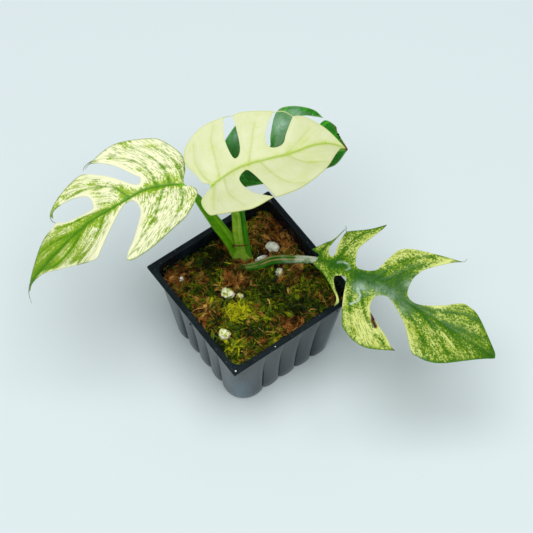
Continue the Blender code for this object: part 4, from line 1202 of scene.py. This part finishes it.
# row: place in the row on the crown. channel: how deep the gutter is pressed, and gutter: where across the
# stalk. margins: where across it its coloured margins run
STALKS = {
    "stalk_left": {
        "row": -3.4, "channel": 0.42, "gutter": 0, "margins": (-0.62, 0.62), "leaf": LEFT_LEAF,
        "route": ((-24, 2.5, 72), (-29, -2.5, 90), (-33, -9, 112), (-36.5, -14, 128)),
        "half_widths": (3.4, 4.2, 4.2, 3.3, 2.1, 1.4), "half_depths": (1.7, 1.8, 1.8, 1.7, 1.5, 1.3)},
    "stalk_cream": {
        "row": 0.4, "channel": 0.12, "gutter": 0, "margins": (-0.62, 0.62), "leaf": CREAM_LEAF,
        "route": ((-20.1, 4.5, 85), (-20.3, 3.2, 112), (-21, -2, 131), (-22.8, -7, 142)),
        "half_widths": (2.9, 2.9, 2.4, 1.9, 1.5, 1.3), "half_depths": (1.8, 1.8, 1.7, 1.6, 1.4, 1.3)},
    "stalk_green": {
        "row": 3.4, "channel": 0.1, "gutter": 0, "margins": (-0.62, 0.62), "leaf": GREEN_LEAF,
        "route": ((-19.1, 8.5, 82), (-22.7, 9, 104), (-27.5, 11.5, 119), (-33.5, 14.5, 124.5)),
        "half_widths": (2.4, 2.4, 2.1, 1.7, 1.4, 1.3), "half_depths": (1.6, 1.6, 1.5, 1.4, 1.3, 1.3)},
    "stalk_right": {
        "channel": 0.5, "gutter": 0.42, "margins": (-0.02, 0.78), "leaf": RIGHT_LEAF,
        "route": ((-19.5, -2, 49), (-17, 0.2, 56.2), (-12.6, 4, 58.4), (-9.9, 7.5, 59.6), (-7.3, 11.9, 61),
                  (-4.9, 16.3, 64), (-1.7, 20.1, 66.5), (2.1, 23.4, 69), (6.2, 26.5, 71.5),
                  (10.4, 29.5, 74), (14.6, 32.4, 76.6)),
        "half_widths": (1.4, 1.8, 2.2, 2.5, 2.7, 2.7, 2.6, 2.4, 2.2, 1.8),
        "half_depths": (1.4, 1.5, 1.6, 1.6, 1.6, 1.6, 1.5, 1.5, 1.4, 1.3)},
}
STALK_SIDES = 28
STALK_STEPS = 7
GUTTER_WIDTH = 0.42


def one_sheet_point(leaf, x, y):
    """One point of a leaf's sheet, with the sheet's own upward direction."""
    rib_y = np.interp(x, *np.array(leaf["rib"]).T)
    spots = np.array([(x, y), (x + 0.5, y), (x, y + 0.5)])
    places, _ = sheet_point(leaf, spots[:, 0], spots[:, 1], spots[:, 1] - rib_y)
    here, ahead, aside = (Vector(p) for p in places)
    return here, (ahead - here).cross(aside - here).normalized()


def stalk_rings(name, stalk):
    """Rings of a channelled oval along a stalk's route, in metres."""
    leaf = stalk["leaf"]
    if name == "stalk_right":
        back = LOOK
        end, _ = one_sheet_point(leaf, 0.4, 0.0)
        ahead_end = one_sheet_point(leaf, 2.0, 0.0)[0] - end
        route = [*stalk["route"], end - UP * 0.5]
    else:
        back = BACKWARD
        end, ahead_end = one_sheet_point(leaf, 1.2, 0.0)
        foot = CROWN + CROWN_ROW * stalk["row"] + UP * (STEM_TOP - 5.0)
        route = [foot, *stalk["route"], end - ahead_end * 0.3]
    curve = smooth_curve(route, lambda a, b: STALK_STEPS) + [Vector(route[-1])]
    share = np.linspace(0, 1, len(curve))
    knots = np.linspace(0, 1, len(stalk["half_widths"]))
    half_widths = np.interp(share, knots, stalk["half_widths"])
    half_depths = np.interp(share, knots, stalk["half_depths"])
    headings = [after - before for before, after in zip(curve, curve[2:])]
    headings = [UP, *headings, ahead_end]
    rings = []
    for middle, ahead, half_width, half_depth in zip(curve, headings, half_widths, half_depths):
        ahead = ahead.normalized()
        side = ahead.cross(back).normalized()
        depth = side.cross(ahead).normalized()
        ring = []
        for angle in np.linspace(0, math.tau, STALK_SIDES, endpoint=False):
            across, deep = math.cos(angle), math.sin(angle)
            press = stalk["channel"] * half_depth * near(across - stalk["gutter"], GUTTER_WIDTH) * (deep > 0)
            place = middle + side * (half_width * across) - depth * (half_depth * deep) + depth * press
            ring.append(place * MM)
        rings.append(ring)
    return rings


for name, stalk in STALKS.items():
    print(name, "has", len(stalk_rings(name, stalk)), "rings")

# %% [markdown]
# A stalk's skin is smooth and slightly waxy, with fibres that run lengthwise every 0.6 mm or so. It is paler
# towards its foot, and the oldest stalk carries dry white scurf near its leaf.

# %% Stalk skin


def stalk_skin(name, dark, light, foot, margin, scurf=0.0):
    """Green skin with lengthwise fibres, paler at its foot, with coloured margins and dry white scurf."""
    made, tree, shader = start_material(name, 0.42, 0.12)
    place = add(tree, "TexCoord").outputs["Object"]
    fibre = add(tree, "Attribute", attribute_name="fibre").outputs["Vector"]
    length, ridge = (add(tree, "Attribute", attribute_name=kept).outputs["Fac"]
                     for kept in ("length", "ridge"))
    lines = add(tree, "TexNoise", {"Vector": fibre, "Scale": 1.0, "Detail": 3.0})
    clouds = add(tree, "TexNoise", {"Vector": place, "Scale": 1000 / 5.0, "Detail": 4.0})
    mixed = add(tree, "Mix", {0: 0.4, 2: lines, 3: clouds})
    spread = add(tree, "MapRange", {"Value": mixed, "From Min": 0.36, "From Max": 0.64})
    low = add(tree, "MapRange", {"Value": length, "From Min": 0.22, "From Max": 0.0, "To Max": 0.8})
    strip = add(tree, "Math", {0: ridge, 1: spread}, operation="MULTIPLY")
    dry = add(tree, "MapRange", {"Value": length, "From Min": 0.55, "From Max": 0.85, "To Max": scurf})
    flaky = add(tree, "MapRange", {"Value": clouds, "From Min": 0.42, "From Max": 0.56})
    crust = add(tree, "Math", {0: dry, 1: flaky}, operation="MULTIPLY")
    skin = dark
    for mask, colour in ((spread, light), (low, foot), (strip, margin), (crust, "#BCC6B4")):
        skin = add(tree, "Mix", {0: mask, 6: skin, 7: colour}, data_type="RGBA")
    bump = add(tree, "Bump", {"Strength": 0.25, "Distance": 0.0003, "Height": lines})
    plug(shader, {"Base Color": skin, "Normal": bump})
    return made


SKINS = {
    "stalk_left": stalk_skin("left_stalk_skin", "#469606", "#78BA18", "#66AA1C", "#92C632"),
    "stalk_cream": stalk_skin("pale_stalk_skin", "#6FAE10", "#A6D03E", "#84BC2A", "#BBD964"),
    "stalk_green": stalk_skin("green_stalk_skin", "#2C7C0A", "#4A9A18", "#5FA626", "#4A9A18"),
    "stalk_right": stalk_skin("old_stalk_skin", "#1E5A10", "#3C7E22", "#26400F", "#A98A5C", 0.85),
}
print("stalk skins:", len(SKINS))

# %% [markdown]
# Each stalk is grown from its rings. The corners' ring and turn numbers give how far along and round the
# stalk a corner lies, which carries the fibres, the paler foot and the coloured margins of the gutter.

# %% Grow the stalks
MARGIN_WIDTH, OLD_MARGIN = 0.13, 1.8
FIBRES_ROUND, FIBRES_ALONG = 3.0, 2.5
for name, stalk in STALKS.items():
    rings = stalk_rings(name, stalk)
    made = grow(name.replace("stalk", "petiole"), rings)
    angle = read_numbers(made, "turn") / STALK_SIDES * math.tau
    share = read_numbers(made, "level") / (len(rings) - 1)
    ridge = sum(near(np.cos(angle) - margin, MARGIN_WIDTH) for margin in stalk["margins"])
    ridge *= (np.sin(angle) > 0) * (OLD_MARGIN if name == "stalk_right" else 1.0)
    fibre = np.stack([np.cos(angle) * FIBRES_ROUND, np.sin(angle) * FIBRES_ROUND, share * FIBRES_ALONG],
                     axis=1)
    write_numbers(made, fibre=fibre, length=share, ridge=ridge)
    hand_over(made, SKINS[name], (name,), 60)

# %% [markdown]
# The crown is an oval of wrapped stalk bases. It is grown as an oval that narrows upwards round the stalks,
# with a pale foot that goes down into the moss.

# %% Crown
CROWN_SIDES = 48
# Height, half-width, half-depth and shift along the row of stalks
CROWN_LEVELS = (
    (STEM_FOOT, 6.2, 2.4, 0), (STEM_FOOT + 1, 7.0, 3.2, 0), (50, 7.0, 3.2, 0), (54, 6.8, 3.2, -0.2),
    (57, 6.3, 3.2, -0.5), (60, 5.6, 3.0, -0.8), (63, 4.5, 2.8, -1.0), (66, 3.4, 2.6, -1.0),
    (69, 2.6, 2.3, -1.0), (71.5, 1.9, 1.9, -1.0), (72.5, 1.2, 1.1, -1.0),
)
rings = []
for z, wide, deep, shift in CROWN_LEVELS:
    ring = []
    for angle in np.linspace(0, math.tau, CROWN_SIDES, endpoint=False):
        wrap = 1 + 0.05 * math.cos(5 * angle + 0.6)
        place = (CROWN + CROWN_ROW * (wide * wrap * math.cos(angle) + shift)
                 + ACROSS_ROW * (deep * wrap * math.sin(angle)) + UP * z)
        ring.append(place * MM)
    rings.append(ring)
crown = grow("crown", rings)
angle, level = read_numbers(crown, "turn") / CROWN_SIDES * math.tau, read_numbers(crown, "level")
write_numbers(crown, fibre=np.stack([np.cos(angle) * 6, np.sin(angle) * 6, level * 0.1], axis=1),
              length=np.clip((level - 3) / 20, 0, 1), ridge=np.zeros(len(level)))
hand_over(crown, stalk_skin("crown_skin", "#6CAA18", "#9ACA3E", "#A2CC54", "#A8C47A"),
          ("stem",), 60)

# %% [markdown]
# Where a leaf tore open as it grew, hair-thin threads still tie lobe to lobe, and some tips end in a curl.
# Each is grown as a tapering tube, 0.2 to 0.7 mm thick, along points on its blade's sheet. A brown scrap of
# dried sheath is left on the crown.

# %% Threads and scraps
THREAD_SIDES = 6


def on_leaf(leaf, flat):
    """Places on a leaf's sheet, in millimetres, for an array of flat places."""
    rib_x, rib_y = np.array(leaf["rib"]).T
    return sheet_point(leaf, flat[:, 0], flat[:, 1], flat[:, 1] - np.interp(flat[:, 0], rib_x, rib_y))[0]


def thread(name, places, thick, fine, material):
    """Grow a tapering tube through places in millimetres."""
    curve = smooth_curve(places, lambda a, b: 4) + [Vector(places[-1])]
    rings = []
    for i, middle in enumerate(curve):
        ahead = (curve[min(i + 1, len(curve) - 1)] - curve[max(i - 1, 0)]).normalized()
        side = ahead.cross(UP).normalized()
        rise = side.cross(ahead)
        radius = thick + (fine - thick) * i / (len(curve) - 1)
        rings.append([(middle + (side * math.cos(a) + rise * math.sin(a)) * radius) * MM
                      for a in np.linspace(0, math.tau, THREAD_SIDES, endpoint=False)])
    hand_over(grow(name, rings), material, (), 80)


dry_thread, cream_thread, brown_scrap, dark_grit = (
    patchy_skin(name, 0.65, 0.2, patch, 2.0, stops)[0] for name, patch, stops in (
        ("dry_leaf_thread", 3.0, ((0.35, "#5F6A4C"), (0.55, "#8E9A78"), (0.7, "#B9C08E"))),
        ("cream_leaf_thread", 3.0, ((0.4, "#C3CB94"), (0.6, "#DDE2B4"))),
        ("dried_brown_sheath", 1.5, ((0.35, "#41230F"), (0.65, "#754A26"))),
        ("dark_grit", 1.0, ((0.35, "#14120E"), (0.65, "#2E2820")))))
# Name, leaf, radius at the start and at the end, and the path on the flat blade
THREADS = (
    ("left_lobe_tip", LEFT_LEAF, 0.3, 0.12, ((38, -36.2), (41.2, -36.1), (44, -35.1), (45.2, -33.5))),
    ("left_gap_tie", LEFT_LEAF, 0.25, 0.2,
     ((73.6, -23.6), (74.9, -22.8), (75.6, -21), (75.3, -18.7), (74.2, -16.8))),
    ("left_drip_tip", LEFT_LEAF, 0.35, 0.12,
     ((107, -0.3), (109, 1.4), (110.6, 3.6), (111.4, 6.8), (111.4, 10.5))),
    ("cream_first_tie", CREAM_LEAF, 0.25, 0.2, ((19.7, 34.1), (22.7, 33.8), (25.2, 33.2))),
    ("cream_second_tie", CREAM_LEAF, 0.3, 0.22,
     ((47, 28.3), (50.7, 28), (53.4, 27.2), (55.3, 25.7), (57.4, 23.4))),
    ("right_lobe_curl", RIGHT_LEAF, 0.3, 0.12, ((74.8, 36.4), (76.3, 37.4), (77.2, 38.6), (77.2, 40))),
    ("right_first_curl", RIGHT_LEAF, 0.25, 0.12, ((6.2, 23), (5.4, 24.4), (4.4, 26), (3.6, 26.8))),
)
for name, leaf, thick, fine, flat_path in THREADS:
    places = on_leaf(leaf, np.array(flat_path)).tolist()
    thread(name, places, thick, fine, cream_thread if leaf is CREAM_LEAF else dry_thread)

SCRAP = ((-5.8, 0.9, 71.6), (-5.3, 1.1, 74.4), (-2.6, 2.6, 75.8), (0.4, 2.6, 76.2), (3.6, 1.6, 75.4))
scrap_path = [CROWN + CROWN_ROW * along - ACROSS_ROW * deep + UP * z for along, deep, z in SCRAP]
thread("dried_sheath_scrap", scrap_path, 0.5, 0.3, brown_scrap)

# %% [markdown]
# Potting leaves grit: two white chips lie on the rim, two dark specks stick to the walls and two crumbs to
# the green leaf's tip. Each is an icosphere pulled out of round and flattened below.

# %% Grit on the pot and the leaf
GRIT_BULGE, GRIT_PITCH, FLAT_BELOW = 0.7, 0.7, 0.36
for name, x, y, z, size, material in (("rim_chip", 42.9, -42.6, 64.3, 0.45, chalk),
                                      ("rim_crumb", 43.6, -14.7, 64.25, 0.36, chalk),
                                      ("wall_speck", -5.0, -41.6, 48.0, 0.55, dark_grit),
                                      ("right_wall_speck", 41.2, 33.0, 52.0, 0.5, dark_grit),
                                      ("tip_crumb", -19.4, 76.4, 129.8, 0.6, dark_grit),
                                      ("tip_crumb_small", -17.6, 76.1, 129.5, 0.45, dark_grit)):
    bpy.ops.object.select_all(action="DESELECT")
    bpy.ops.mesh.primitive_ico_sphere_add(subdivisions=3, radius=size * MM)
    chip = bpy.context.object
    chip.name = name
    for vertex in chip.data.vertices:
        bulge = noise.noise(vertex.co / (GRIT_PITCH * MM) + Vector((x, y, z)))
        vertex.co = vertex.co * (1 + GRIT_BULGE * bulge)
        vertex.co.z = max(vertex.co.z, -FLAT_BELOW * MM)
        vertex.co += Vector((x, y, z)) * MM
    hand_over(chip, material, (), 60)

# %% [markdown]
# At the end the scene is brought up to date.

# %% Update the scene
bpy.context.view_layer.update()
